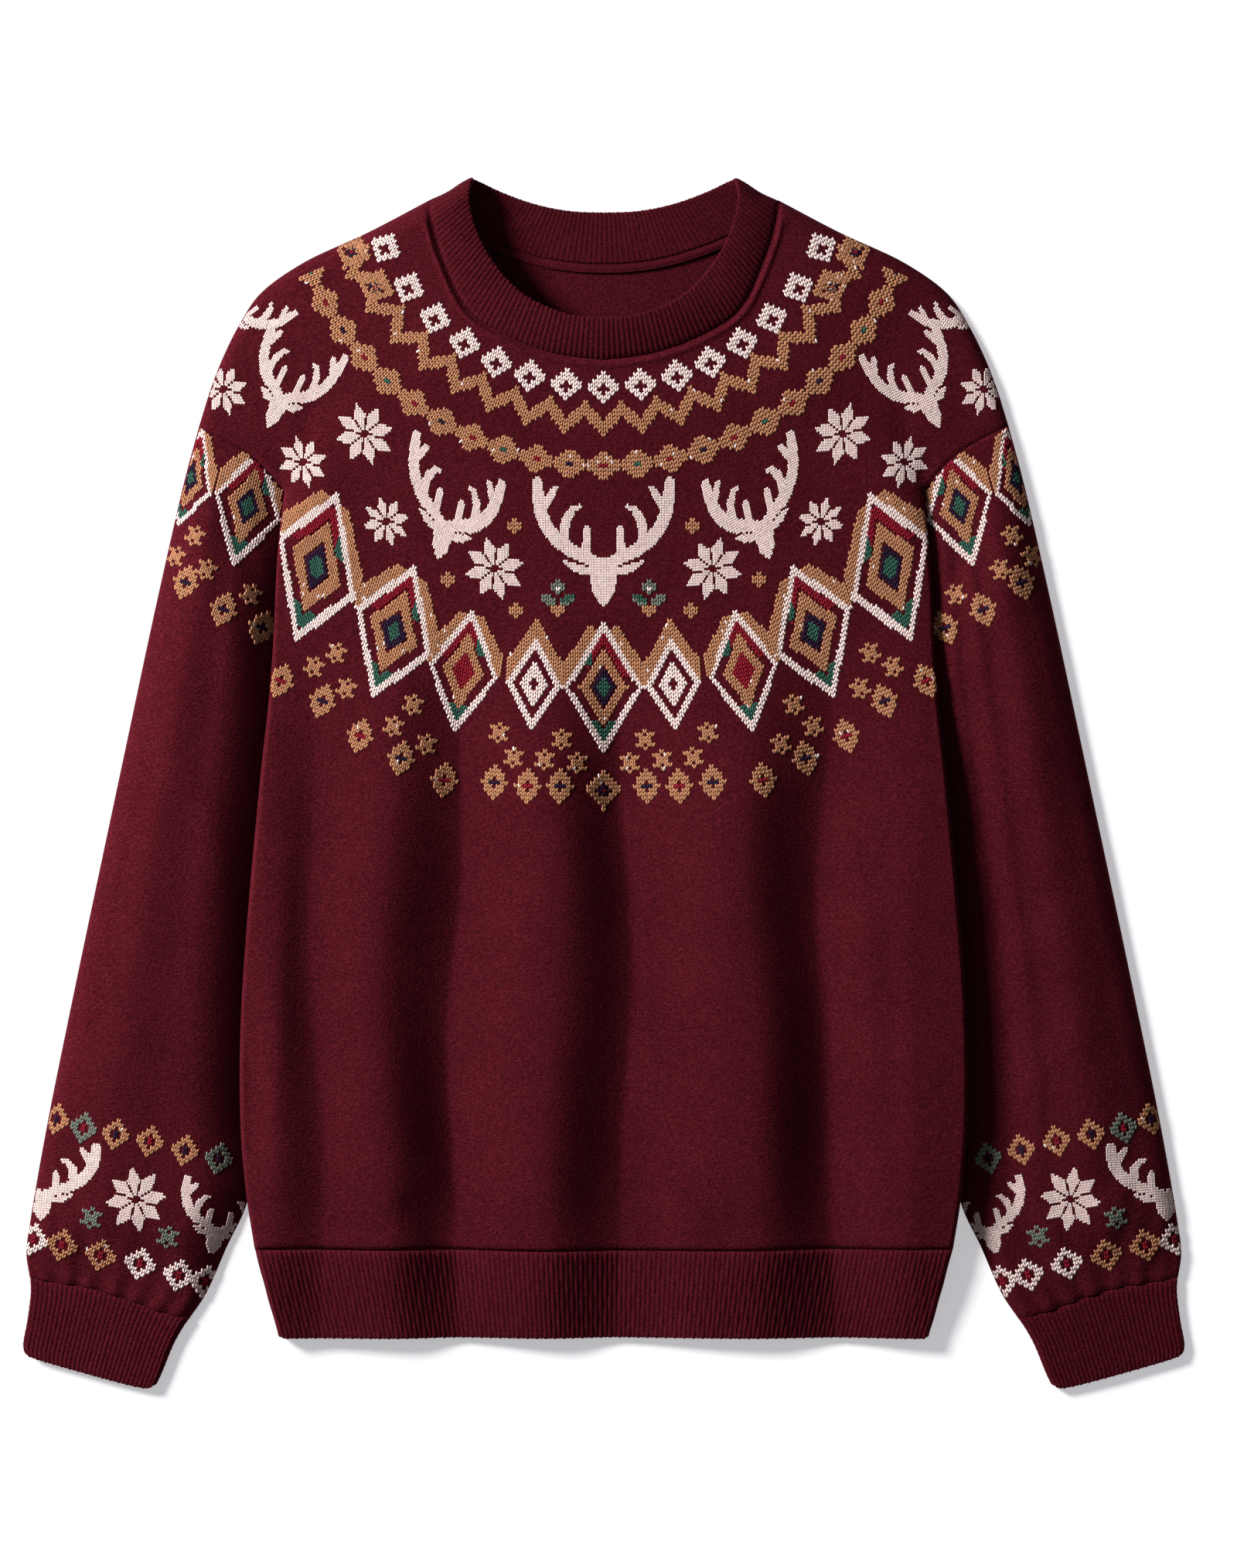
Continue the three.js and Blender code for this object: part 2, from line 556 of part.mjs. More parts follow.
// A body panel over both halves: columns from the left side to the right
function panel(part) {
  const centre = new PlanLine([new THREE.Vector2(0, SIDE.at(-1).y - HEM_SEAM_DIP), part.neck.at(0)]);
  const hem = new PlanLine([centre.at(0), side.at(1)]);
  const top = chained({ line: part.neck, end: BODY_NECK_SHARE }, { line: shoulderTop, end: 1 });
  const right = chained(
    { line: side.reversed(), end: BODY_UNDERARM_SHARE },
    { line: armhole, end: BODY_ARM_SHARE },
    { line: shoulderFall.reversed(), end: 1 },
  );
  const plan = patch(hem, top, centre, right, SIDE_HOLD);
  const seams = [
    { line: part.neck, reach: NECK_SEAM_REACH },
    { line: armhole, reach: ARM_SEAM_REACH },
    { line: hem, reach: ARM_SEAM_REACH },
  ];
  const columns = [...part.columns.slice(1).reverse().map((u) => -u), ...part.columns];
  const atSide = (u, v) => Math.abs(u) === 1 && (v <= BODY_UNDERARM_SHARE || v >= BODY_ARM_SHARE);
  const atShoulder = (u, v) => v === 1 && Math.abs(u) >= BODY_NECK_SHARE;
  const outside = BODY_ROWS.map((v) => columns.map((u) => {
    const half = plan(Math.abs(u), v);
    const p = u < 0 ? mirrored(half) : half;
    if (atSide(u, v) || atShoulder(u, v)) {
      return new THREE.Vector3(p.x, p.y, edges(p.x, p.y, true).half + part.face * FOLD_GAP / 2);
    }
    return new THREE.Vector3(p.x, p.y, part.face > 0 ? upper(part, p.x, p.y) : lower(part, p.x, p.y));
  }));
  const inside = outside.map((row, j) => row.map((p, i) => {
    const v = BODY_ROWS[j];
    const u = columns[i];
    const across = new THREE.Vector3();
    if (i > 0) across.add(direction(row[i - 1], p));
    if (i + 1 < row.length) across.add(direction(p, row[i + 1]));
    const along = new THREE.Vector3();
    if (j > 0) along.add(direction(outside[j - 1][i], p));
    if (j + 1 < outside.length) along.add(direction(p, outside[j + 1][i]));
    if (atSide(u, v)) across.set(0, 0, -u * part.face);
    else if (atShoulder(u, v)) along.set(0, 0, -part.face);
    const normal = across.cross(along).normalize().multiplyScalar(part.face);
    for (const { line, reach } of seams) {
      const { distance, along: rim } = line.nearest(Math.abs(p.x), p.y);
      const square = new THREE.Vector3(p.x < 0 ? rim.y : -rim.y, rim.x, 0);
      normal.addScaledVector(square, -normal.dot(square) * (1 - smooth(distance / reach)));
    }
    return p.clone().addScaledVector(normal.normalize(), -part.wall);
  }));
  const skin = new Skin();
  const a = skin.grid(outside);
  const b = skin.grid(inside);
  skin.sheet(a, false, false);
  skin.sheet(b, false, true);
  skin.sheet([b[0], a[0]], false, false);
  skin.sheet([a.at(-1), b.at(-1)], false, false);
  skin.sheet([a.map((row) => row[0]), b.map((row) => row[0])], false, false);
  skin.sheet([b.map((row) => row.at(-1)), a.map((row) => row.at(-1))], false, false);
  return skin.geometry();
}

// Columns for ribs: a crest and a groove for each rib, and a few more at the rolled edges
function ribColumns(width, pitch, margin) {
  const count = Math.round((1 - 2 * margin) * width / pitch);
  const start = (1 - count * pitch / width) / 2;
  const rolled = MARGIN_COLUMNS.map((share) => share * start);
  const columns = [...rolled];
  for (let k = 0; k <= 2 * count; k++) columns.push(start + (k * pitch) / 2 / width);
  columns.push(...rolled.map((u) => 1 - u).reverse());
  return { columns, start, count };
}

function ribs(width, pitch, margin) {
  const { columns, start, count } = ribColumns(width, pitch, margin);
  const rise = (u) => {
    const rib = (u - start) * width / pitch;
    if (rib <= 0 || rib >= count) return 0;
    return RIB_RISE * (0.5 - 0.5 * Math.cos(2 * Math.PI * rib));
  };
  return { columns, rise };
}

const none = () => 0;
const CLOTH_COLOUR = 0x5b1620;
const RIB_COLOUR = 0x52131d;
const group = new THREE.Group();

function add(name, geometry, color) {
  const material = new THREE.MeshStandardMaterial({ color, roughness: 0.95, metalness: 0 });
  const mesh = new THREE.Mesh(geometry, material);
  mesh.name = name;
  group.add(mesh);
}

// Front and back panels
const body = { wall: CLOTH, onBody: true, rise: bodyRise };
add('front_panel', panel({ ...body, face: 1, neck: neckSeam, columns: FRONT_COLUMNS }), CLOTH_COLOUR);
add('back_panel', panel({ ...body, face: -1, neck: backNeck, columns: BACK_COLUMNS }), CLOTH_COLOUR);

// Sleeves: columns from the outer edge to the edge beside the body
const sleevePlan = patch(sleeveTop, cuffSeam, sleeveOuter, sleeveInner);
for (const [name, sign] of [['sleeve_left', -1], ['sleeve_right', 1]]) {
  const plan = (u, v) => (sign < 0 ? mirrored(sleevePlan(u, v)) : sleevePlan(u, v));
  add(name, tube({
    wall: CLOTH, onBody: false, rise: sleeveRise, above: plan, below: plan, lift: none, lip: none,
    rib: none, rows: SLEEVE_ROWS, upperColumns: SLEEVE_COLUMNS, innerColumns: SLEEVE_COLUMNS,
    lowerColumns: FLAT_COLUMNS, turn: sign,
  }), CLOTH_COLOUR);
}

// Cuffs
const cuffTop = cuffSeam.moved(SEAM);
const cuffEnd = outline(CUFF_END);
const cuffPlan = patch(
  cuffTop,
  cuffEnd,
  outline([cuffTop.at(0), ...CUFF_OUTER.slice(1)]),
  outline([cuffTop.at(1), ...CUFF_INNER.slice(1)]),
);
const cuffRibs = ribs(cuffSeam.length, CUFF_RIB_PITCH, CUFF_MARGIN);
for (const [name, sign] of [['cuff_left', -1], ['cuff_right', 1]]) {
  const plan = (u, v) => (sign < 0 ? mirrored(cuffPlan(u, v)) : cuffPlan(u, v));
  add(name, tube({
    wall: BAND, onBody: false, rise: () => CUFF_LOFT, above: plan, below: plan, lift: none, lip: none,
    rib: cuffRibs.rise, rows: BAND_ROWS, upperColumns: cuffRibs.columns, innerColumns: SLEEVE_COLUMNS,
    lowerColumns: FLAT_COLUMNS, turn: sign,
  }), RIB_COLOUR);
}

// Hem band: columns from the right side to the left
const hemTopHalf = new PlanLine([
  new THREE.Vector2(0, SIDE.at(-1).y - HEM_SEAM_DIP - SEAM),
  new THREE.Vector2(SIDE.at(-1).x, SIDE.at(-1).y - SEAM),
]);
const cornerX = HEM_SIDE.at(-1).x - HEM_CORNER;
const hemEndPoints = [new THREE.Vector2(0, HEM_END_Y)];
for (let k = 0; k <= CORNER_STEPS; k++) {
  const angle = (Math.PI / 2) * (k / CORNER_STEPS - 1);
  hemEndPoints.push(new THREE.Vector2(
    cornerX + HEM_CORNER * Math.cos(angle),
    HEM_END_Y + HEM_CORNER * (1 + Math.sin(angle)),
  ));
}
const hemEndHalf = new PlanLine(hemEndPoints);
const hemSideLine = outline([hemTopHalf.at(1), ...HEM_SIDE.slice(1, -1), hemEndHalf.at(1)]);
const hemCentre = new PlanLine([hemTopHalf.at(0), hemEndHalf.at(0)]);
const hemHalf = patch(hemTopHalf, hemEndHalf, hemCentre, hemSideLine);
const hemPlan = (u, v) => (u > 0.5 ? mirrored(hemHalf(2 * u - 1, v)) : hemHalf(1 - 2 * u, v));
const hemRibs = ribs(2 * SIDE.at(-1).x, HEM_RIB_PITCH, HEM_MARGIN);
const hemFarEdge = HEM_EDGE_COLUMNS.map((u) => 1 - u).reverse();
const hemMiddle = [];
for (let k = 0; k <= HEM_MIDDLE_STEPS; k++) {
  hemMiddle.push(THREE.MathUtils.lerp(HEM_MIDDLE_START, 1 - HEM_MIDDLE_START, k / HEM_MIDDLE_STEPS));
}
add('hem_band', tube({
  wall: BAND, onBody: true, rise: bodyRise, above: hemPlan, below: hemPlan, lift: none, lip: none,
  rib: hemRibs.rise, rows: BAND_ROWS, upperColumns: hemRibs.columns,
  innerColumns: [...HEM_EDGE_COLUMNS, ...hemMiddle, ...hemFarEdge],
  lowerColumns: [...HEM_EDGE_COLUMNS, ...HEM_UNDER_COLUMNS, ...hemFarEdge], turn: 1,
}), RIB_COLOUR);

// Collar: the front half lies over the back half, and both meet in the two folds
const acrossNeck = (seamLine, edgeLine) => (u, v) => {
  const right = u <= 0.5;
  const share = right ? 1 - 2 * u : 2 * u - 1;
  const p = seamLine.at(share).lerp(edgeLine.at(share), v);
  return right ? p : mirrored(p);
};
const foldStart = collarFold.reversed().at(SEAM / collarFold.length);
const toFold = (seam, shares) => {
  return new PlanLine([...seam.moved(SEAM).points.slice(0, -1), foldStart], shares);
};
const collarSeamFront = toFold(neckSeam, neckShares);
const collarSeamBack = toFold(backNeck, backNeckShares);
const collarRibs = ribs(2 * neckSeam.length, COLLAR_RIB_PITCH, COLLAR_MARGIN);
const bothHalves = (shares) => {
  const right = [...shares, ...COLLAR_FOLD_COLUMNS].sort((a, b) => b - a).map((s) => (1 - s) / 2);
  return [...right, ...right.slice(0, -1).reverse().map((u) => 1 - u)];
};
add('collar', tube({
  wall: COLLAR_WALL, onBody: true, rise: (x, y) => bodyRise(x, y) - 2 * (COLLAR_WALL - CLOTH),
  above: acrossNeck(collarSeamFront, collarEdge), below: acrossNeck(collarSeamBack, collarTop),
  lift: (x, v) => v * COLLAR_RISE * (1 - COLLAR_LIFT_FALL * Math.abs(x) / NECK_SEAM.at(-1).x),
  lip: (v) => (v === 1 ? COLLAR_LIP : 0), rib: collarRibs.rise, rows: COLLAR_ROWS,
  upperColumns: collarRibs.columns, innerColumns: bothHalves(neckShares),
  lowerColumns: bothHalves(backNeckShares), turn: -1,
}), RIB_COLOUR);

// Neck tape: a flat strip along the back neck seam, on the back panel's upper face
const tapeLine = backNeck.moved(-TAPE_OFFSET);
const tapeFar = backNeck.moved(-TAPE_OFFSET - TAPE_WIDTH);
const tapePoint = (line, k, z) => {
  const share = TAPE_REACH * (2 * k / TAPE_STEPS - 1);
  const p = line.at(Math.abs(share));
  return new THREE.Vector3(share < 0 ? -p.x : p.x, p.y, z);
};
const tapeSkin = new Skin();
const tapeRows = [];
for (let k = 0; k <= TAPE_STEPS; k++) {
  const base = CLOTH + SEAM;
  tapeRows.push([
    tapePoint(tapeLine, k, base), tapePoint(tapeFar, k, base),
    tapePoint(tapeFar, k, base + TAPE_WALL), tapePoint(tapeLine, k, base + TAPE_WALL),
  ]);
}
const tapeIds = tapeSkin.grid(tapeRows);
tapeSkin.sheet(tapeIds, true, false);
tapeSkin.quad(tapeIds[0][3], tapeIds[0][2], tapeIds[0][1], tapeIds[0][0]);
tapeSkin.quad(...tapeIds.at(-1));
add('neck_tape', tapeSkin.geometry(), RIB_COLOUR);

export default group;
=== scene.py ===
# %% [markdown]
# # A knitted Christmas sweater, laid flat
# The sweater lies on its back on a pale floor and is seen from straight above. Its solids already exist
# in the imported frame, and each shell here is built to lie where its solid lies. The garment is worked
# out from its cut: outline lines for one half, a table of folds, and rolled edges where front and back
# meet. All lengths are in millimetres until a mesh is made, because a pattern cutter thinks in
# millimetres.
# %% Frame
import math
import bpy
import numpy as np
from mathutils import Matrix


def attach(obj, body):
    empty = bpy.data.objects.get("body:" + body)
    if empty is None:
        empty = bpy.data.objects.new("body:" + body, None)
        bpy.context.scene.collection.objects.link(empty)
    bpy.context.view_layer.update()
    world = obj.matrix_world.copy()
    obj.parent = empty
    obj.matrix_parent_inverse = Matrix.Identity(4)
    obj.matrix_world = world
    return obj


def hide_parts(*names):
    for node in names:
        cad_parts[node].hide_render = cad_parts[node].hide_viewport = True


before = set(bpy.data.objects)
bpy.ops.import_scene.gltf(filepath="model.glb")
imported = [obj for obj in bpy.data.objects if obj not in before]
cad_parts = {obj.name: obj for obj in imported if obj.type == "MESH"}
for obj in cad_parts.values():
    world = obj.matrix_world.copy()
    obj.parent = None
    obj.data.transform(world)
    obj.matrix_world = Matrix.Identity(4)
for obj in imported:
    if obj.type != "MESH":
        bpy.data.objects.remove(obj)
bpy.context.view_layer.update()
MM = 0.001
random = np.random.default_rng(25)

# %% [markdown]
# ## Camera
# The photograph looks straight down, with the neck at the top of the picture. A long lens
# far away keeps the sleeves from leaning outwards. The picture's height shows a known
# length of the garment's plane, and that gives the camera's distance.
# %% Camera
PICTURE_HEIGHT = 0.9734    # metres of the garment's plane from the bottom of the picture to its top
PICTURE_CENTRE = (0.0091, -0.0006)
PLANE_HEIGHT = 0.008
LENS = 100
SENSOR = 36
camera_data = bpy.data.cameras.new("camera")
camera_data.lens = LENS
camera_data.sensor_width = SENSOR
camera_data.clip_end = 50
camera = bpy.data.objects.new("camera", camera_data)
bpy.context.scene.collection.objects.link(camera)
camera.location = (*PICTURE_CENTRE, PLANE_HEIGHT + PICTURE_HEIGHT * LENS / SENSOR)
bpy.context.scene.camera = camera
print("camera height", round(camera.location.z, 3))

# %% [markdown]
# ## Light and floor
# A large round softbox stands low at the left, so it rakes over the cloth and shows the long
# folds, and its light fades a little towards the right sleeve. The floor gets its own higher
# light, so that the shadow beside the sweater stays short. Light linking sorts them: each
# lamp names the objects that it leaves out or takes in. A faint pale sky fills the dark sides.
# %% Light and floor
KEY_TOWARDS = (-0.80, 0.40, 0.40)  # direction from the sweater to the softbox
KEY_DISTANCE = 2.6
KEY_SIZE = 0.8
KEY_LIGHT = 7.6            # watts a square metre that reach the sweater's middle
FLOOR_SUN_TOWARDS = (-0.62, 0.48, 0.52)
FLOOR_SUN_STRENGTH = 3.7
FLOOR_SUN_SOFTNESS = math.radians(14)
SKY_STRENGTH = 0.14
FLOOR_DROP = 0.0003
FLOOR_HALF = 6.0
FLOOR_GLOW = 0.42          # light from under the pale floor keeps its shadows pale
FLOOR_COLOUR = (0.8, 0.8, 0.81, 1)


def add_lamp(name, kind, towards, distance):
    """A lamp at a distance in a direction, turned to face the origin."""
    data = bpy.data.lights.new(name, kind)
    lamp = bpy.data.objects.new(name, data)
    bpy.context.scene.collection.objects.link(lamp)
    x, y, z = (distance * part / math.hypot(*towards) for part in towards)
    lamp.location = (x, y, z)
    lamp.rotation_euler = (math.atan2(math.hypot(x, y), z), 0, math.atan2(x, -y))
    return lamp


key = add_lamp("softbox", "AREA", KEY_TOWARDS, KEY_DISTANCE)
key.data.shape = "DISK"
key.data.size = KEY_SIZE
# A flat source needs pi times the squared distance times the light it should give there
key.data.energy = KEY_LIGHT * math.pi * KEY_DISTANCE**2
floor_sun = add_lamp("floor_sun", "SUN", FLOOR_SUN_TOWARDS, KEY_DISTANCE)
floor_sun.data.energy = FLOOR_SUN_STRENGTH
floor_sun.data.angle = FLOOR_SUN_SOFTNESS

world = bpy.data.worlds.new("sky")
world.use_nodes = True
world.node_tree.nodes["Background"].inputs["Color"].default_value = (0.93, 0.95, 1, 1)
world.node_tree.nodes["Background"].inputs["Strength"].default_value = SKY_STRENGTH
bpy.context.scene.world = world
bpy.context.scene.view_settings.view_transform = "Standard"
bpy.context.scene.view_settings.look = "None"

floor_mesh = bpy.data.meshes.new("floor")
floor_mesh.from_pydata([(-FLOOR_HALF, -FLOOR_HALF, -FLOOR_DROP), (FLOOR_HALF, -FLOOR_HALF, -FLOOR_DROP),
                        (FLOOR_HALF, FLOOR_HALF, -FLOOR_DROP), (-FLOOR_HALF, FLOOR_HALF, -FLOOR_DROP)],
                       [], [(0, 1, 2, 3)])
floor = bpy.data.objects.new("floor", floor_mesh)
bpy.context.scene.collection.objects.link(floor)
floor_material = bpy.data.materials.new("pale_floor")
floor_material.use_nodes = True
floor_shader = floor_material.node_tree.nodes["Principled BSDF"]
floor_shader.inputs["Base Color"].default_value = FLOOR_COLOUR
floor_shader.inputs["Roughness"].default_value = 0.9
floor_shader.inputs["Specular IOR Level"].default_value = 0.0
floor_shader.inputs["Emission Color"].default_value = (0.98, 0.965, 1, 1)
floor_shader.inputs["Emission Strength"].default_value = FLOOR_GLOW
floor_mesh.materials.append(floor_material)


def link_light(lamp, state):
    """Takes the floor out of a lamp's receivers, or makes it the only one."""
    receivers = bpy.data.collections.new(f"{lamp.name}_receivers")
    receivers.objects.link(floor)
    receivers.collection_objects[0].light_linking.link_state = state
    lamp.light_linking.receiver_collection = receivers


link_light(key, "EXCLUDE")
link_light(floor_sun, "INCLUDE")
print("lamps", key.name, floor_sun.name)

# %% [markdown]
# ## The cut
# These tables hold the outline of the right half, and the left half is its mirror. Each row is
# a place on the edge of the laid garment, and each table is one edge or seam.
# %% The cut
COLLAR_FOLD = [(82, 376.4), (88.3, 373), (97.5, 367), (108.5, 362)]
SHOULDER = [(108.5, 362), (146, 342.3), (188, 322.5), (214, 303.5), (227, 284), (236.5, 265),
            (244, 246), (251.5, 222)]
SHOULDER_TURN = 3
SLEEVE_OUTER = [(251.5, 222), (260.5, 188.5), (278, 112), (298.5, 16), (331, -138), (346.5, -215),
                (356.5, -272), (359, -292), (357, -307)]
CUFF_OUTER = [(357, -307), (356.6, -316), (358.6, -333), (361.4, -350), (360.2, -354.8)]
CUFF_INNER = [(257.6, -332.8), (261, -337.5), (267, -348), (275.4, -368.2), (278.6, -374.6)]
CUFF_SEAM = [(357, -307), (344, -309.7), (320, -313.5), (300, -319.4), (273, -329), (257.6, -332.8)]
CUFF_END = [(360.2, -354.8), (357.4, -356.6), (327, -366), (288, -376.1), (283.2, -376.4),
            (278.6, -374.6)]
ARMHOLE = [(198.7, 182), (219, 203.5), (251.5, 222)]
SIDE = [(198.7, 182), (202.6, 145), (205.4, 86), (208.5, 47), (213, 6), (225, -138), (225.6, -211),
        (222, -256), (217, -289)]
SLEEVE_INNER_END = [(235, -289.5), (247.7, -318)]
SLEEVE_LEAVES_SIDE = -250
SIDE_GAP = -1.0            # a sleeve's edge lies a little under the body's
HEM_SIDE = [(217, -289), (211.2, -311), (206, -330), (202.8, -341)]
HEM_SEAM_DIP = 1.6
HEM_END_Y = -345.8
HEM_CORNER = 5
NECK_SEAM = [(0, 262), (22, 264.4), (39, 268.4), (60, 277), (83, 292), (99.4, 324), (106.2, 346),
             (108.5, 362)]
COLLAR_EDGE = [(0, 286.8), (22, 289.5), (50, 302.5), (70, 325), (79.4, 344), (83.4, 362), (82, 376.4)]
BACK_NECK = [(0, 323), (16, 323.6), (40, 327.5), (72.5, 338.5), (94, 350.5), (108.5, 362)]
COLLAR_TOP = [(0, 354.7), (20, 355.5), (41, 359.4), (64, 367.5), (82, 376.4)]
print("cuff to cuff", round(2 * CUFF_OUTER[3][0], 1), "mm")

# %% [markdown]
# ## Round lines and distances
# A round line runs through the rows of a table: the centripetal form of the Catmull-Rom
# curve, which never loops where two rows lie close together. The other helpers find a place
# on a line, the distance to it, and heights between the rows of a table.
# %% Round lines and distances
LINE_STEPS = 12


def outline(rows):
    """Points on a centripetal Catmull-Rom curve: between two rows a cubic whose tangents come
    from the neighbours, each weighed by the square root of its distance."""
    knots = np.array(rows, float)
    ends = (2 * knots[0] - knots[1], 2 * knots[-1] - knots[-2])
    knots = np.vstack([ends[0], knots, ends[1]])
    p0, p1, p2, p3 = knots[:-3], knots[1:-2], knots[2:-1], knots[3:]
    root = lambda a, b: np.linalg.norm(a - b, axis=1, keepdims=True) ** 0.5
    d0, d1, d2 = root(p0, p1), root(p1, p2), root(p2, p3)
    start = ((p1 - p0) / d0 - (p2 - p0) / (d0 + d1) + (p2 - p1) / d1) * d1
    stop = ((p2 - p1) / d1 - (p3 - p1) / (d1 + d2) + (p3 - p2) / d2) * d1
    t = (np.arange(LINE_STEPS) / LINE_STEPS)[:, None, None]
    cubic = (p1 + start * t + (3 * (p2 - p1) - 2 * start - stop) * t**2
             + (2 * (p1 - p2) + start + stop) * t**3)
    return np.vstack([cubic.transpose(1, 0, 2).reshape(-1, 2), knots[-2:-1]])


def at(line, share):
    """The point at a share of a line's length."""
    reach = np.concatenate([[0], np.cumsum(np.linalg.norm(np.diff(line, axis=0), axis=1))])
    goal = np.clip(share, 0, 1) * reach[-1]
    return np.stack([np.interp(goal, reach, line[:, 0]), np.interp(goal, reach, line[:, 1])], -1)


def length(line):
    """Sum of a line's straight steps."""
    return float(np.linalg.norm(np.diff(line, axis=0), axis=1).sum())


def moved(line, distance):
    """The line shifted to its own left by a distance."""
    along = np.gradient(line, axis=0)
    along /= np.linalg.norm(along, axis=1, keepdims=True)
    return line + distance * np.stack([-along[:, 1], along[:, 0]], 1)


def away(line, x, y, block=3000):
    """Shortest distance from each spot to a line: the spot is dropped onto every straight step,
    clamped to the step's ends, and the nearest foot counts."""
    start, step = line[:-1], np.diff(line, axis=0)
    spots = np.column_stack([np.ravel(x), np.ravel(y)])
    found = np.empty(len(spots))
    for k in range(0, len(spots), block):
        rel = spots[k:k + block, None] - start
        t = np.clip((rel * step).sum(2) / (step * step).sum(1), 0, 1)
        found[k:k + block] = np.sqrt(((rel - t[..., None] * step) ** 2).sum(2).min(1))
    return found.reshape(np.shape(x))


def ramp(table, spot):
    """Value between a table's rows, level at each row: a smoothstep of the share between them."""
    keys, values = np.array(table, float).T
    k = np.clip(np.searchsorted(keys, spot) - 1, 0, len(keys) - 2)
    t = np.clip((spot - keys[k]) / (keys[k + 1] - keys[k]), 0, 1)
    return values[k] + (values[k + 1] - values[k]) * t * t * (3 - 2 * t)


def smooth(t):
    """Smoothstep: 3 t squared less 2 t cubed, between 0 and 1."""
    t = np.clip(t, 0, 1)
    return t * t * (3 - 2 * t)


def fold_ramp(table, spot, sharp):
    """Folds between a table's ridges and troughs: a blend of a smoothstep with a quarter sine
    that starts in the trough, so that ridges are round and troughs narrow, as in real cloth."""
    keys, values = np.array(table, float).T
    k = np.clip(np.searchsorted(keys, spot) - 1, 0, len(keys) - 2)
    t = np.clip((spot - keys[k]) / (keys[k + 1] - keys[k]), 0, 1)
    low, high = np.minimum(values[k], values[k + 1]), np.maximum(values[k], values[k + 1])
    t = np.where(values[k] < values[k + 1], t, 1 - t)
    return low + (high - low) * ((1 - sharp) * smooth(t) + sharp * np.sin(np.pi / 2 * t))


print("points on the side", len(outline(SIDE)))

# %% [markdown]
# ## Lines of the cut
# The tables become lines. The hem's round corner is shared at its middle: half of it ends the
# hem and half of it ends the side. Three long lines are the edges where the cloth rolls over.
# %% Lines of the cut
CORNER_STEPS = 8
SLEEVE_PARTS = 0.93        # share of the side at which the sleeve's edge parts from it
SHOULDER_LINE = outline(SHOULDER)
SHOULDER_TOP = SHOULDER_LINE[:SHOULDER_TURN * LINE_STEPS + 1]
SHOULDER_FALL = SHOULDER_LINE[SHOULDER_TURN * LINE_STEPS:]
ARM_LINE = outline(ARMHOLE)
SIDE_LINE = outline(SIDE)
NECK_LINE = outline(NECK_SEAM)
BACK_NECK_LINE = outline(BACK_NECK)
CUFF_LINE = outline(CUFF_SEAM)
HEM_LINE = np.array([(0, SIDE[-1][1] - HEM_SEAM_DIP), SIDE[-1]], float)
HEM_ANGLES = np.pi / 2 * (np.arange(CORNER_STEPS + 1) / CORNER_STEPS - 1)
HEM_ARC = np.column_stack([HEM_SIDE[-1][0] - HEM_CORNER + HEM_CORNER * np.cos(HEM_ANGLES),
                           HEM_END_Y + HEM_CORNER * (1 + np.sin(HEM_ANGLES))])
HEM_END = np.vstack([[(0, HEM_END_Y)], HEM_ARC[:CORNER_STEPS // 2 + 1]])
HEM_SIDE_LINE = np.vstack([outline([*HEM_SIDE[:-1], tuple(HEM_ARC[-1])]),
                           HEM_ARC[CORNER_STEPS // 2:-1][::-1]])
COLLAR_FOLD_LINE = outline(COLLAR_FOLD)
CUFF_SIDES = outline(CUFF_OUTER), outline(CUFF_INNER)
SLEEVE_SIDE_END = at(SIDE_LINE, SLEEVE_PARTS)
SLEEVE_INNER_LINE = outline([
    SIDE[0], *[(x + SIDE_GAP, y) for x, y in SIDE[1:] if y > SLEEVE_LEAVES_SIDE],
    (SLEEVE_SIDE_END[0] + SIDE_GAP, SLEEVE_SIDE_END[1]), *SLEEVE_INNER_END, CUFF_SEAM[-1],
])
SLEEVE_OUTER_LINE = outline(SLEEVE_OUTER)
OUTER_EDGE = np.vstack([COLLAR_FOLD_LINE, SHOULDER_LINE[1:], SLEEVE_OUTER_LINE[1:], CUFF_SIDES[0][1:]])
BODY_EDGE = np.vstack([SIDE_LINE, HEM_SIDE_LINE[1:]])
ARM_EDGE = np.vstack([SLEEVE_INNER_LINE, CUFF_SIDES[1][1:]])
print("neck seam", round(2 * length(NECK_LINE)), "mm, side", round(length(SIDE_LINE)), "mm")

# %% [markdown]
# ## Heights of the laid garment
# Front and back meet in rolled edges. Between them the front stands over the back by two
# walls, some air and the folds. A fold is a ridge or a trough with its own height, and the
# folds fade out towards the chest. These are the tables of walls, folds and small creases.
# %% Heights
CLOTH_WALL = 2.4
BAND_WALL = 2.6
COLLAR_WALL = 4.2
REST_GAP = 0.4
REST = 0.3                 # the underside stays this much over the floor
ROLL = 13
ROLL_TURN = 1.08           # a roll reaches in by its height squared over this many walls
SIDE_ROLL = 3.2            # the body's sides stand up steeply beside the sleeves
LEFT_FALL, RIGHT_FALL = 33, 16  # how far out a sleeve falls away towards the body
UNDER_ROLL = 10
NECK_LIFT = 6
NECK_REACH = 85
SLEEVE_BLEND = 70
CUFF_LOFT = 1.4
CUFF_BLEND = 55
ARMPIT_X, ARMPIT_DEPTH, ARMPIT_TOP, ARMPIT_FOOT = 201, 2.4, 242, 140
ARMPIT_INSIDE, ARMPIT_OUTSIDE = 6, 20
FLUTES = [(-226, 11), (-206, 14), (-178, 8.5), (-135, 14.5), (-92, 0), (-32, 14), (12, 0), (92, 14.5),
          (138, 0), (196, 14), (226, 14.5)]
FLUTE_STRENGTH = [(-346, 0.5), (-289, 0.75), (-235, 1), (-30, 0.9), (120, 0)]
FOLD_SHARP = 0.35
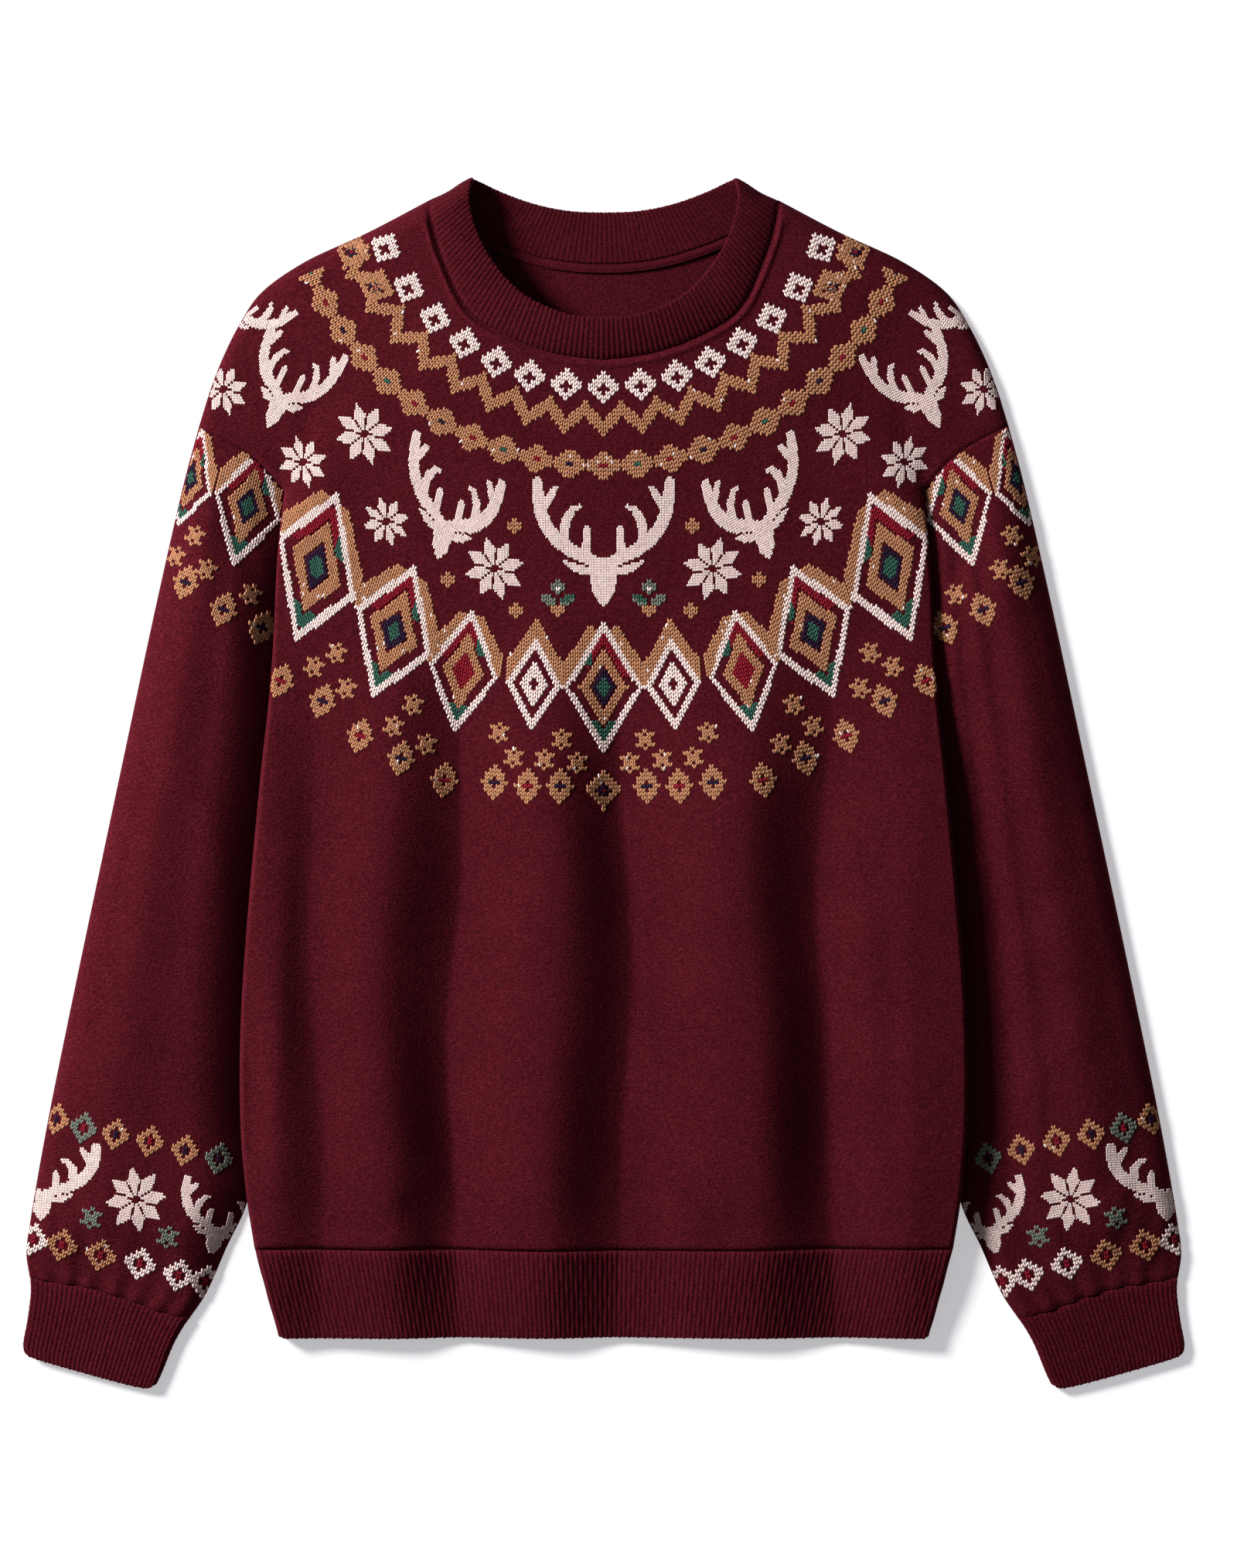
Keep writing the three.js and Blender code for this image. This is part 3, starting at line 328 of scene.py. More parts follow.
# How far a fold strays to the side on its way down: reach, lengths down and across, start
FOLD_WANDER = [(4.5, 67, 48, 0), (1.6, 29, 71, 2)]
EVEN_LOFT = [(-346, 1), (-289, 2), (60, 4.5), (376, 4.5)]
LEFT_FULLNESS = [(0, 6), (0.35, 12), (0.6, 10.5), (1, 9)]
RIGHT_FULLNESS = [(0, 6), (0.35, 11), (0.6, 7), (0.8, 3), (1, 2)]
OUTER_HALF = [(-376, 3.8), (-306, 4.4), (-200, 5), (250, 5), (362, 6.2)]
SIDE_HALF = [(-346, 4), (-289, 5.2), (-230, 7.2), (110, 7.2), (182, 3.6)]
INNER_HALF = [(-376, 3.8), (-306, 3.2), (-256, 1.9), (120, 1.9), (182, 3.2)]
# Creases: from x, y to x, y, then half width and height, with troughs below zero
BODY_CREASES = [
    (-196, 176, -182, 236, 9, -1.5), (197, 178, 184, 238, 9, -1.5),
    (-190, 150, -168, 196, 12, 0.9), (192, 150, 170, 198, 12, 0.9),
    (-128, -262, -96, -284, 9, -1.6), (-112, -240, -84, -276, 10, 0.9),
    (18, -248, 40, -280, 10, -1.5), (34, -236, 62, -272, 11, 0.9),
    (-60, 60, -48, -120, 26, 0.8), (60, 40, 66, -150, 22, 0.7),
    (150, 30, 160, -190, 14, 0.8), (-160, 20, -172, -150, 16, -0.9),
    (176, -60, 182, -250, 9, -1.1), (-196, -40, -204, -230, 8, 0.9),
    (-30, 190, 40, 178, 34, 0.6), (70, 238, 150, 262, 20, 0.7), (-150, 262, -70, 236, 20, 0.7),
]
SLEEVE_CREASES = [
    (256, 150, 222, 60, 11, 0.8), (236, 176, 214, 120, 8, -1.1), (292, -60, 246, -96, 12, -0.8),
    (300, -150, 262, -190, 13, 0.9), (262, 20, 232, -60, 14, 0.8), (334, -216, 300, -262, 12, -0.8),
    (352, -262, 338, -296, 6, 0.9), (330, -250, 316, -302, 6, -0.9),
]
GATHERS = [(0.1, 0.9), (0.24, 1.5), (0.37, 1.1), (0.52, 1.7), (0.66, 1.2), (0.8, 1.6), (0.92, 0.8)]
GATHER_WIDTH = 0.045
GATHER_REACH = 22
SEAM_DIP = 0.8
SEAM_SOFT = 1.7
CREASE_FADE = 0.5          # share of a crease's length over which its ends fade
WAVER = 0.28               # height of the soft unevenness of lying cloth
CUFF_WAVER = 0.6           # the cuffs' share of it
print("folds", len(FLUTES), "creases", len(BODY_CREASES) + len(SLEEVE_CREASES))

# %% [markdown]
# ## From the tables to heights
# Each side of each piece is a height over the plan. The same formulas make the solids in the
# frame, and here fine creases, gathers and the soft roll into each seam are added.
# %% From the tables to heights

def crease_rise(creases, x, y):
    """Sum of soft troughs and ridges: a bell over the distance to a line, faded at its ends."""
    total = np.zeros(np.shape(x))
    for x0, y0, x1, y1, width, height in creases:
        long = math.hypot(x1 - x0, y1 - y0)
        along = ((x - x0) * (x1 - x0) + (y - y0) * (y1 - y0)) / long**2
        across = ((x - x0) * (y1 - y0) - (y - y0) * (x1 - x0)) / long
        fade = smooth(along / CREASE_FADE + 0.5) * smooth((1 - along) / CREASE_FADE + 0.5)
        total += height * fade * np.exp(-((across / width) ** 2))
    return total


def waver(x, y):
    """Slow uneven waves: products of sines whose lengths don't share a measure."""
    return WAVER * (np.sin(x / 17.3 + 0.8 * np.sin(y / 29)) * np.sin(y / 21.7 + 1.3)
                    + 0.6 * np.sin(x / 9.1 + y / 13.7) * np.sin(y / 11.3 - x / 31))


def edges(x, y, on_body):
    """Distances to the outer and the inner rolled edge, and half the height there, weighed by
    one over the squared distance."""
    outer = away(OUTER_EDGE, np.abs(x), y)
    inner = away(BODY_EDGE if on_body else ARM_EDGE, np.abs(x), y)
    outer_weight, inner_weight = 1 / (outer + 1) ** 2, 1 / (inner + 1) ** 2
    half = (ramp(OUTER_HALF, y) * outer_weight
            + ramp(SIDE_HALF if on_body else INNER_HALF, y) * inner_weight)
    return outer, inner, half / (outer_weight + inner_weight)


def fold_wander(x, y):
    """Sum of slow sines down the cloth, out of step from one fold to the next."""
    return sum(reach * np.sin(y / down + x / across + start)
               for reach, down, across, start in FOLD_WANDER)


def body_rise(x, y):
    """Folds where the flutes are strong, an even loft elsewhere, a lift at the neck and a
    crease that runs up from the underarm."""
    share = ramp(FLUTE_STRENGTH, y)
    neck = away(NECK_LINE, np.abs(x), y) / NECK_REACH
    beside = np.abs(x) - ARMPIT_X
    reach = np.where(beside < 0, ARMPIT_INSIDE, ARMPIT_OUTSIDE)
    up = smooth((ARMPIT_TOP - y) / (ARMPIT_TOP - ARMHOLE[0][1]))
    down = smooth((y - ARMPIT_FOOT) / (ARMHOLE[0][1] - ARMPIT_FOOT))
    armpit = ARMPIT_DEPTH * up * down * np.exp(-((beside / reach) ** 2))
    folds = fold_ramp(FLUTES, x + fold_wander(x, y), FOLD_SHARP)
    return (share * folds + (1 - share) * ramp(EVEN_LOFT, y) + NECK_LIFT * np.exp(-neck * neck)
            - armpit)


def sleeve_rise(x, y, outer, inner):
    """Fullness across the sleeve, flatter towards the cuff and as the body's at the armhole,
    with one bell for each gather above the cuff."""
    across = outer / (outer + inner)
    to_cuff = away(CUFF_LINE, np.abs(x), y)
    to_body = away(ARM_LINE, np.abs(x), y)
    full = np.where(x < 0, ramp(LEFT_FULLNESS, across), ramp(RIGHT_FULLNESS, across))
    own = CUFF_LOFT + (full - CUFF_LOFT) * smooth(to_cuff / CUFF_BLEND)
    for place, height in GATHERS:
        bell = np.exp(-(((across - place) / GATHER_WIDTH) ** 2))
        own = own + height * bell * np.exp(-to_cuff / GATHER_REACH)
    share = smooth(to_body / SLEEVE_BLEND)
    return body_rise(x, y) * (1 - share) + own * share


def roll(t):
    """Quarter round: the square root of 1 less (1 - t) squared."""
    return np.sqrt(1 - (1 - np.clip(t, 0, 1)) ** 2)


def fall(t):
    """Parabola: 1 less (1 - t) squared, whose slope grows evenly towards the edge."""
    return 1 - (1 - np.clip(t, 0, 1)) ** 2


def roll_reach(height, wall, most):
    """A roll of this height reaches no further in than its wall can turn."""
    return np.clip(height**2 / (ROLL_TURN * wall), wall, most)


def seam_roll(lines, x, y):
    """The cloth turns down into a seam: a bell over the distance to the nearest seam."""
    if not lines:
        return 0
    near = np.minimum.reduce([away(line, np.abs(x), y) for line in lines])
    return -SEAM_DIP * np.exp(-((near / SEAM_SOFT) ** 2))


def upper(x, y, on_body=True, wall=CLOTH_WALL, seams=(), extra=0):
    """Height of the upper side: half the edge's height, plus a quarter round up to two walls,
    the air between them and the folds."""
    outer, inner, half = edges(x, y, on_body)
    if on_body:
        rise = body_rise(x, y) + crease_rise(BODY_CREASES, x, y)
    else:
        rise = sleeve_rise(x, y, outer, inner) + crease_rise(SLEEVE_CREASES, np.abs(x), y)
    top = 2 * wall + REST_GAP + rise + extra + waver(x, y) + seam_roll(seams, x, y)
    reach = roll_reach(top - half, wall, ROLL)
    if on_body:
        share = roll(np.minimum(outer / reach, inner / np.minimum(reach, SIDE_ROLL)))
    else:
        up_sleeve = smooth(away(CUFF_LINE, np.abs(x), y) / CUFF_BLEND)
        inner_reach = ROLL / 2 + (np.where(x < 0, LEFT_FALL, RIGHT_FALL) - ROLL / 2) * up_sleeve
        share = np.minimum(roll(outer / reach), fall(inner / inner_reach))
    return half + (top - half) * share


def lower(x, y, on_body=True, wall=CLOTH_WALL):
    """Height of the underside: from half the edge's height down to just over the floor."""
    outer, inner, half = edges(x, y, on_body)
    near = np.minimum(outer, inner)
    return REST + (half - REST) * (1 - roll(near / roll_reach(half, wall, UNDER_ROLL)))


print("height at the chest", round(float(upper(np.zeros(1), np.zeros(1))[0]), 1), "mm")


# %% [markdown]
# ## Building meshes from whole arrays
# A grid of points becomes a closed shell: the same grid moved in by the cloth's wall closes
# it, and its rim is sewn with one more strip of faces. Faces are index arrays, so no loop
# runs over the vertices.
# %% Mesh helpers
def fill_mesh(name, points, quads, triangles=None, tone=None):
    """Puts points in millimetres and face indices into a new object on the root body."""
    if triangles is None:
        triangles = np.empty((0, 3), int)
    mesh = bpy.data.meshes.new(name)
    corners = np.concatenate([quads.ravel(), triangles.ravel()])
    starts = np.concatenate([4 * np.arange(len(quads)), 4 * len(quads) + 3 * np.arange(len(triangles))])
    mesh.vertices.add(len(points))
    mesh.vertices.foreach_set("co", (points * MM).ravel())
    mesh.loops.add(len(corners))
    mesh.loops.foreach_set("vertex_index", corners)
    mesh.polygons.add(len(starts))
    mesh.polygons.foreach_set("loop_start", starts)
    mesh.update(calc_edges=True)
    mesh.polygons.foreach_set("use_smooth", np.ones(len(starts), bool))
    if tone is not None:
        mesh.attributes.new("tone", "FLOAT", "POINT").data.foreach_set("value", tone)
    mesh.validate()
    piece = bpy.data.objects.new(name, mesh)
    bpy.context.scene.collection.objects.link(piece)
    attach(piece, "root")
    return piece


def strip(a, b, closed):
    """Quads between two rows of point numbers."""
    if closed:
        return np.stack([a, np.roll(a, -1), np.roll(b, -1), b], -1).reshape(-1, 4)
    return np.stack([a[:-1], a[1:], b[1:], b[:-1]], -1).reshape(-1, 4)


def grid_faces(ids, closed):
    """Quads of a grid of point numbers, joined round its second direction if closed."""
    if closed:
        ids = np.column_stack([ids, ids[:, 0]])
    return np.stack([ids[:-1, :-1], ids[:-1, 1:], ids[1:, 1:], ids[1:, :-1]], -1).reshape(-1, 4)


def unit(vectors):
    """Vectors over their own length."""
    return vectors / np.maximum(np.linalg.norm(vectors, axis=-1, keepdims=True), 1e-9)


def grid_normals(grid, closed):
    """Cross product of the grid's two directions, each taken between the neighbours."""
    down = np.gradient(grid, axis=0)
    across = (np.roll(grid, -1, 1) - np.roll(grid, 1, 1)) if closed else np.gradient(grid, axis=1)
    return unit(np.cross(across, down))


def facing_out(points, quads):
    """The quads, turned round if the volume inside them comes out below zero: the sum of the
    triple products of each face's two triangles."""
    p = points[quads]
    volume = (np.cross(p[:, 0], p[:, 1]) * p[:, 2]).sum() + (np.cross(p[:, 0], p[:, 2]) * p[:, 3]).sum()
    return quads if volume > 0 else quads[:, ::-1]


def close_shell(outside, inside, closed):
    """Points and outward faces of the shell between two grids of the same size."""
    rows, columns = outside.shape[:2]
    points = np.concatenate([outside.reshape(-1, 3), inside.reshape(-1, 3)])
    a = np.arange(rows * columns).reshape(rows, columns)
    b = a + rows * columns
    parts = [grid_faces(a, closed), grid_faces(b, closed)[:, ::-1], strip(b[0], a[0], closed),
             strip(a[-1], b[-1], closed)]
    if not closed:
        parts += [strip(a[:, 0], b[:, 0], False), strip(b[:, -1], a[:, -1], False)]
    return points, facing_out(points, np.concatenate(parts))


def clustered(count, start=1.0, stop=1.0, keep=()):
    """Shares from 0 to 1 that lie closer at an end whose power is over 1, with some kept."""
    t = np.linspace(0, 1, count)
    shares = np.where(t < 0.5, 0.5 * (2 * t) ** start, 1 - 0.5 * (2 - 2 * t) ** stop)
    for share in keep:
        shares[np.argmin(np.abs(shares - share))] = share
    return shares


def patch(bottom, top, left, right, hold=1.0):
    """Plan points between four lines: straight from bottom to top, plus the bend of the left
    and right lines, each fading across the piece by a power."""
    bend = lambda line, v: line(v) - line(0) * (1 - v[:, None]) - line(1) * v[:, None]

    def plan(u, v):
        flat = bottom(u)[None] * (1 - v)[:, None, None] + top(u)[None] * v[:, None, None]
        flat = flat + bend(left, v)[:, None] * ((1 - u) ** hold)[None, :, None]
        return flat + bend(right, v)[:, None] * (u**hold)[None, :, None]

    return plan


def by_share(*lines):
    """Each line as a function of the share of its length."""
    return [(lambda line: lambda share: at(line, np.asarray(share)))(line) for line in lines]


def chained(*links):
    """One line out of several, each with the share at which it ends."""
    def line_at(share):
        share = np.asarray(share, float)
        found = np.zeros((*share.shape, 2))
        start = 0
        for line, end in links:
            here = (share >= start) & (share <= end)
            found[here] = at(line, (share[here] - start) / (end - start))
            start = end
        return found
    return line_at


def both_ways(plan, u, v):
    """A plan for the right half over columns from -1 to 1."""
    half = plan(np.abs(u), v)
    return half[..., 0] * np.where(u < 0, -1, 1), half[..., 1]


# %% [markdown]
# ## Burgundy cloth
# The cloth is a brushed knit in a melange yarn: dark and light fibres lie side by side, so
# the colour changes from grain to grain. Two noises make the grain, a third one slow clouds.
# The nap is a fine bump with a little sheen. The materials read Object coordinates, so the
# grain keeps its size on every piece.
# %% Burgundy cloth
def new_material(name, roughness=0.95):
    """A material with a named Principled shader, and a helper that adds linked nodes."""
    material = bpy.data.materials.new(name)
    material.use_nodes = True
    tree = material.node_tree
    shader = tree.nodes["Principled BSDF"]
    shader.inputs["Roughness"].default_value = roughness
    shader.inputs["Specular IOR Level"].default_value = 0.03

    def add(kind, links=None, **values):
        node = tree.nodes.new(kind)
        for key, value in values.items():
            setattr(node, key, value)
        for socket, value in (links or {}).items():
            if isinstance(value, bpy.types.NodeSocket):
                tree.links.new(value, node.inputs[socket])
            else:
                node.inputs[socket].default_value = value
        return node

    return material, tree, shader, add


def noise(add, where, scale, stretch=None):
    """A noise of a given scale in turns a metre, stretched along the axes if asked."""
    if stretch:
        where = add("ShaderNodeMapping", {"Vector": where, "Scale": stretch}).outputs["Vector"]
    return add("ShaderNodeTexNoise", {"Vector": where, "Scale": scale, "Detail": 2.0}).outputs["Fac"]


def ramp_node(add, factor, stops):
    """A colour ramp with (place, linear colour) stops."""
    node = add("ShaderNodeValToRGB", {"Fac": factor})
    elements = node.color_ramp.elements
    while len(elements) < len(stops):
        elements.new(0.5)
    for element, (place, colour) in zip(elements, stops):
        element.position = place
        element.color = (*colour, 1)
    return node.outputs["Color"]


def maths(add, operation, first, second):
    """One sum, product or the like of two numbers."""
    return add("ShaderNodeMath", {0: first, 1: second}, operation=operation).outputs["Value"]


def weighed(add, first, first_share, second, second_share):
    """Sum of two numbers, each times its own share."""
    return maths(add, "ADD", maths(add, "MULTIPLY", first, first_share),
                 maths(add, "MULTIPLY", second, second_share))


DARK_FIBRE = (0.026, 0.0016, 0.0038)
MAIN_FIBRE = (0.058, 0.0042, 0.0080)
LIGHT_FIBRE = (0.108, 0.0105, 0.0175)
FIBRE_STOPS = [(0.34, DARK_FIBRE), (0.5, MAIN_FIBRE), (0.68, LIGHT_FIBRE)]
FINE_GRAIN, COARSE_GRAIN, CLOUDS = 1400, 640, 22  # turns a metre
COARSE_STRETCH = (0.75, 1.3, 1.0)
FINE_SHARE, CLOUD_SHARE = 0.55, 0.1
FINE_NAP, COARSE_NAP, NAP_DEPTH = 0.45, 0.9, 0.0011
SHEEN, SHEEN_ROUGHNESS, SHEEN_TINT = 0.03, 0.5, (1, 0.2, 0.3, 1)


def cloth_material(name, grain=1.0, nap=0.5, shade=1.0):
    """Melange: a ramp over the mean of a fine and a coarse noise, lightened by slow clouds."""
    material, tree, shader, add = new_material(name)
    where = add("ShaderNodeTexCoord").outputs["Object"]
    fine = noise(add, where, FINE_GRAIN * grain)
    coarse = noise(add, where, COARSE_GRAIN * grain, stretch=COARSE_STRETCH)
    clouds = maths(add, "SUBTRACT", noise(add, where, CLOUDS), 0.5)
    mix = weighed(add, fine, FINE_SHARE, coarse, 1 - FINE_SHARE)
    mix = maths(add, "ADD", mix, maths(add, "MULTIPLY", clouds, CLOUD_SHARE))
    stops = [(place, tuple(shade * c for c in rgb)) for place, rgb in FIBRE_STOPS]
    tree.links.new(ramp_node(add, mix, stops), shader.inputs["Base Color"])
    height = weighed(add, fine, FINE_NAP, coarse, COARSE_NAP)
    bump = add("ShaderNodeBump", {"Height": height, "Strength": nap, "Distance": NAP_DEPTH})
    tree.links.new(bump.outputs["Normal"], shader.inputs["Normal"])
    shader.inputs["Sheen Weight"].default_value = SHEEN
    shader.inputs["Sheen Roughness"].default_value = SHEEN_ROUGHNESS
    shader.inputs["Sheen Tint"].default_value = SHEEN_TINT
    return material


CLOTH = cloth_material("burgundy_brushed_knit")
RIB = cloth_material("burgundy_rib_knit", grain=1.25, nap=0.35, shade=0.95)
# The collar's rib is a darker copy of the bands' rib, a painted shade that makes the collar darker than
# the hem and cuffs.
NECK_RIB_PAINTED_SHADE = cloth_material("burgundy_neck_rib_painted_shade", grain=1.25, nap=0.35, shade=0.8)
# The back panel wears a darker copy of the cloth: painted shade for the shadow inside the neck, under
# the front collar.
BACK_PAINTED_SHADE = cloth_material("burgundy_back_knit_painted_shade", shade=0.84)
TAPE = cloth_material("burgundy_neck_tape", grain=1.5, nap=0.25, shade=0.9)
print("cloth materials", [m.name for m in (CLOTH, BACK_PAINTED_SHADE, RIB, NECK_RIB_PAINTED_SHADE, TAPE)])

# %% [markdown]
# ## Front and back
# One patch of plan points serves both panels: columns run from hem to neck and shoulder, and
# the sides bend with the outline. The front takes the upper height and the back the lower
# one, so that they meet exactly in the folds at the sides and shoulders.
# %% Front and back
NECK_SHARE, UNDERARM_SHARE, ARM_SHARE, SIDE_HOLD = 0.55, 0.75, 0.86, 2.4
THIN = 1.5                 # the shell's own wall, thinner than the solid's
OVERSEW_AT, OVERSEW_WIDTH, OVERSEW_RISE = 3.8, 1.5, 0.9
SIDE_CROWD, TOP_CROWD = 1.7, 1.45  # columns and rows lie closer together at the edges


def panel_plan(neck):
    """Plan of a body panel whose top runs along the given neck line and the shoulder."""
    centre = np.array([HEM_LINE[0], neck[0]])
    right = chained((SIDE_LINE[::-1], UNDERARM_SHARE), (ARM_LINE, ARM_SHARE), (SHOULDER_FALL[::-1], 1))
    top = chained((neck, NECK_SHARE), (SHOULDER_TOP, 1))
    return patch(lambda u: at(HEM_LINE, u), top, lambda v: at(centre, v), right, SIDE_HOLD)


def neck_topstitch(x, y, neck):
    """A low ridge along the neck seam, where the seam allowance lies under the cloth."""
    return OVERSEW_RISE * np.exp(-(((away(neck, np.abs(x), y) - OVERSEW_AT) / OVERSEW_WIDTH) ** 2))


def front_height(x, y):
    """Upper side of the front, rolled into its seams and raised over the neck's allowance."""
    return upper(x, y, seams=(NECK_LINE, ARM_LINE, HEM_LINE), extra=neck_topstitch(x, y, NECK_LINE))


def back_height(x, y):
    """Underside of the back, flat on the floor where it rests."""
    return lower(x, y)


def panel(name, node, neck, height, face, columns, rows, material=CLOTH):
    """A body panel: the plan over both halves, its height, and the same grid one wall inside."""
    half = clustered(columns, 1.0, SIDE_CROWD, (NECK_SHARE,))
    u = np.concatenate([-half[:0:-1], half])
    v = clustered(rows, 1.0, TOP_CROWD, (UNDERARM_SHARE, ARM_SHARE))
    x, y = both_ways(panel_plan(neck), u, v)
    outside = np.stack([x, y, height(x, y)], -1)
    normals = grid_normals(outside, False)
    normals *= np.sign(normals[rows // 2, columns, 2]) * face
    points, quads = close_shell(outside, outside - THIN * normals, False)
    piece = fill_mesh(name, points, quads)
    piece.data.materials.append(material)
    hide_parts(node)
    print(name, len(quads) * 2, "triangles")
    return piece


front_cloth = panel("front_cloth", "front_panel", NECK_LINE, front_height, 1, 118, 200)
# The back takes the darker copy of the cloth, a painted shade.
back_cloth = panel("back_cloth", "back_panel", BACK_NECK_LINE, back_height, -1, 80, 120, BACK_PAINTED_SHADE)

# %% [markdown]
# ## Sleeves
# A sleeve is a flattened tube: its upper columns run from the outer fold to the fold beside
# the body, and its lower columns run back. The wall is the same tube, one wall inside.
# %% Sleeves
SLEEVE_SEAMS = (ARM_LINE, CUFF_LINE)
UPPER_COLUMNS, LOWER_COLUMNS, SLEEVE_ROWS = 96, 60, 190
FOLD_CROWD, ARM_CROWD, CUFF_CROWD = 1.5, 1.15, 1.3
sleeve_plan = patch(*by_share(ARM_LINE[::-1], CUFF_LINE, SLEEVE_OUTER_LINE, SLEEVE_INNER_LINE))


def sleeve_height(x, y):
    """Upper side of a sleeve."""
    return upper(x, y, on_body=False, seams=SLEEVE_SEAMS)


def sleeve(side, sign):
    """Both layers of a sleeve as one ring for each row."""
    over = clustered(UPPER_COLUMNS, FOLD_CROWD, FOLD_CROWD)
    under = clustered(LOWER_COLUMNS, FOLD_CROWD, FOLD_CROWD)[::-1][1:-1]
    v = clustered(SLEEVE_ROWS, ARM_CROWD, CUFF_CROWD)
    top = sleeve_plan(over, v)
    low = sleeve_plan(under, v)
    top_z = sleeve_height(sign * top[..., 0], top[..., 1])
    low_z = lower(low[..., 0], low[..., 1], on_body=False)
    plan = np.concatenate([top, low], 1)
    heights = np.concatenate([top_z, low_z], 1)
    outside = np.stack([sign * plan[..., 0], plan[..., 1], heights], -1)
    normals = grid_normals(outside, True)
    normals *= np.sign(normals[len(v) // 2, len(over) // 2, 2])
    points, quads = close_shell(outside, outside - THIN * normals, True)
    piece = fill_mesh(f"sleeve_{side}_cloth", points, quads)
    piece.data.materials.append(CLOTH)
    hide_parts(f"sleeve_{side}")
    print(piece.name, len(quads) * 2, "triangles")
    return piece


sleeves = {side: sleeve(side, sign) for side, sign in (("left", -1), ("right", 1))}

# %% [markdown]
# ## Rib bands
# Collar, cuffs and hem are rib knit: round ridges with narrow grooves between them. The ribs
# are real waves in the surface, with eight columns to a rib. The free edge of each band is
# folded, so the shell turns round it in a half circle and comes back inside.
# %% Rib bands
RIB_RISE = 0.45
RIB_ROUND, RIB_LEVEL = 0.02, 0.85  # rounds the grooves, and the height that counts as none
HEM_RIB_PITCH, CUFF_RIB_PITCH, COLLAR_RIB_PITCH = 3.06, 3.15, 3.5
RIB_COLUMNS = 8
STITCH_PITCH = 2.4
STITCH_RISE = 0.1
COLLAR_RISE = 5.5
LIP_STEPS = 6
UNDER_SINK = 0.1           # ribs on the underside lie this much inside the plain surface
BAND_SHELL, COLLAR_SHELL = 1.9, 3.2  # thickness of a band with its fold
BAND_CROWD = 1.12          # columns lie a little closer at the side folds


def rib_wave(across, pitch):
    """Height of a rib: the root of a raised cosine, which gives round crests and tight grooves."""
    wave = 0.5 - 0.5 * np.cos(2 * np.pi * across / pitch)
    return RIB_RISE * (np.sqrt(wave + RIB_ROUND) - RIB_LEVEL)


def rib_rows(along, across, pitch):
    """Low rows of stitches on each rib, set half a stitch off from rib to rib."""
    shift = 0.5 * (np.floor(across / pitch) % 2)
    return STITCH_RISE * np.cos(2 * np.pi * (along / STITCH_PITCH + shift))


def band(name, node, outside, across, along, pitch, wall, under, material=RIB):
    """A folded rib band: rows from the seam to the free edge, a half round lip, and the rows
    back on the inside. The ribs stand along the normals of the plain surface, and under tells
    where they may only go inwards, because the band rests there."""
    normals = grid_normals(outside, True)
    normals *= np.sign(normals[len(outside) // 2, outside.shape[1] // 4, 2])
    rib = rib_wave(across, pitch) + rib_rows(along, across, pitch)
    rib = np.where(under, np.minimum(rib, 0) - UNDER_SINK, rib)
    outer = outside + rib[..., None] * normals
    inner = outside - wall * normals - rib[..., None] * normals
    forward = unit(outside[-1] - outside[-2])
    angle = np.linspace(0, np.pi, LIP_STEPS + 2)[1:-1, None, None]
    middle = (outer[-1] + inner[-1]) / 2
    radius = np.linalg.norm(outer[-1] - inner[-1], axis=-1, keepdims=True) / 2
    lip = middle + radius * (np.cos(angle) * normals[-1] + np.sin(angle) * forward)
    rows = np.concatenate([outer, lip, inner[::-1]])
    rows[..., 2] = np.maximum(rows[..., 2], 0)
    count = rows.shape[1]
    ids = np.arange(rows.shape[0] * count).reshape(-1, count)
    quads = grid_faces(np.vstack([ids, ids[:1]]), True)
    points = rows.reshape(-1, 3)
    piece = fill_mesh(name, points, facing_out(points, quads))
    piece.data.materials.append(material)
    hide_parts(node)
    print(name, len(quads) * 2, "triangles")
    return piece


def flat_ring(over_plan, under_plan, height_over, height_under):
    """Joins an upper and a lower grid into rings."""
    top = np.stack([over_plan[0], over_plan[1], height_over], -1)
    low = np.stack([under_plan[0], under_plan[1], height_under], -1)
    return np.concatenate([top, low], 1)


def ring_measures(ring, row=0):
    """Length across from the first column, taken on one row, and length along from the seam."""
    step = np.linalg.norm(np.diff(ring[row, :, :2], axis=0), axis=1)
    across = np.concatenate([[0], np.cumsum(step)])
    along = np.concatenate([[0], np.cumsum(np.linalg.norm(np.diff(ring.mean(1), axis=0), axis=1))])
    return np.broadcast_to(across, ring.shape[:2]), np.broadcast_to(along[:, None], ring.shape[:2])


# %% [markdown]
# ## Cuffs
# Each cuff is a rib tube, gathered in from the sleeve. Its columns are shared out evenly, so
# the ribs fan a little as the cuff narrows.
# %% Cuffs
cuff_plan = patch(*by_share(CUFF_LINE, outline(CUFF_END), *CUFF_SIDES))
cuff_rows = np.linspace(0, 0.975, 34)  # the round lip takes up the rest


def cuff_height(x, y):
    """Upper side of a cuff: two walls, the air and a small loft, over rolled edges."""
    outer, inner, half = edges(x, y, False)
    top = 2 * BAND_WALL + REST_GAP + CUFF_LOFT + CUFF_WAVER * waver(x, y) + seam_roll((CUFF_LINE,), x, y)
    near = np.minimum(outer, inner)
    return half + (top - half) * roll(near / roll_reach(top - half, BAND_WALL, ROLL))


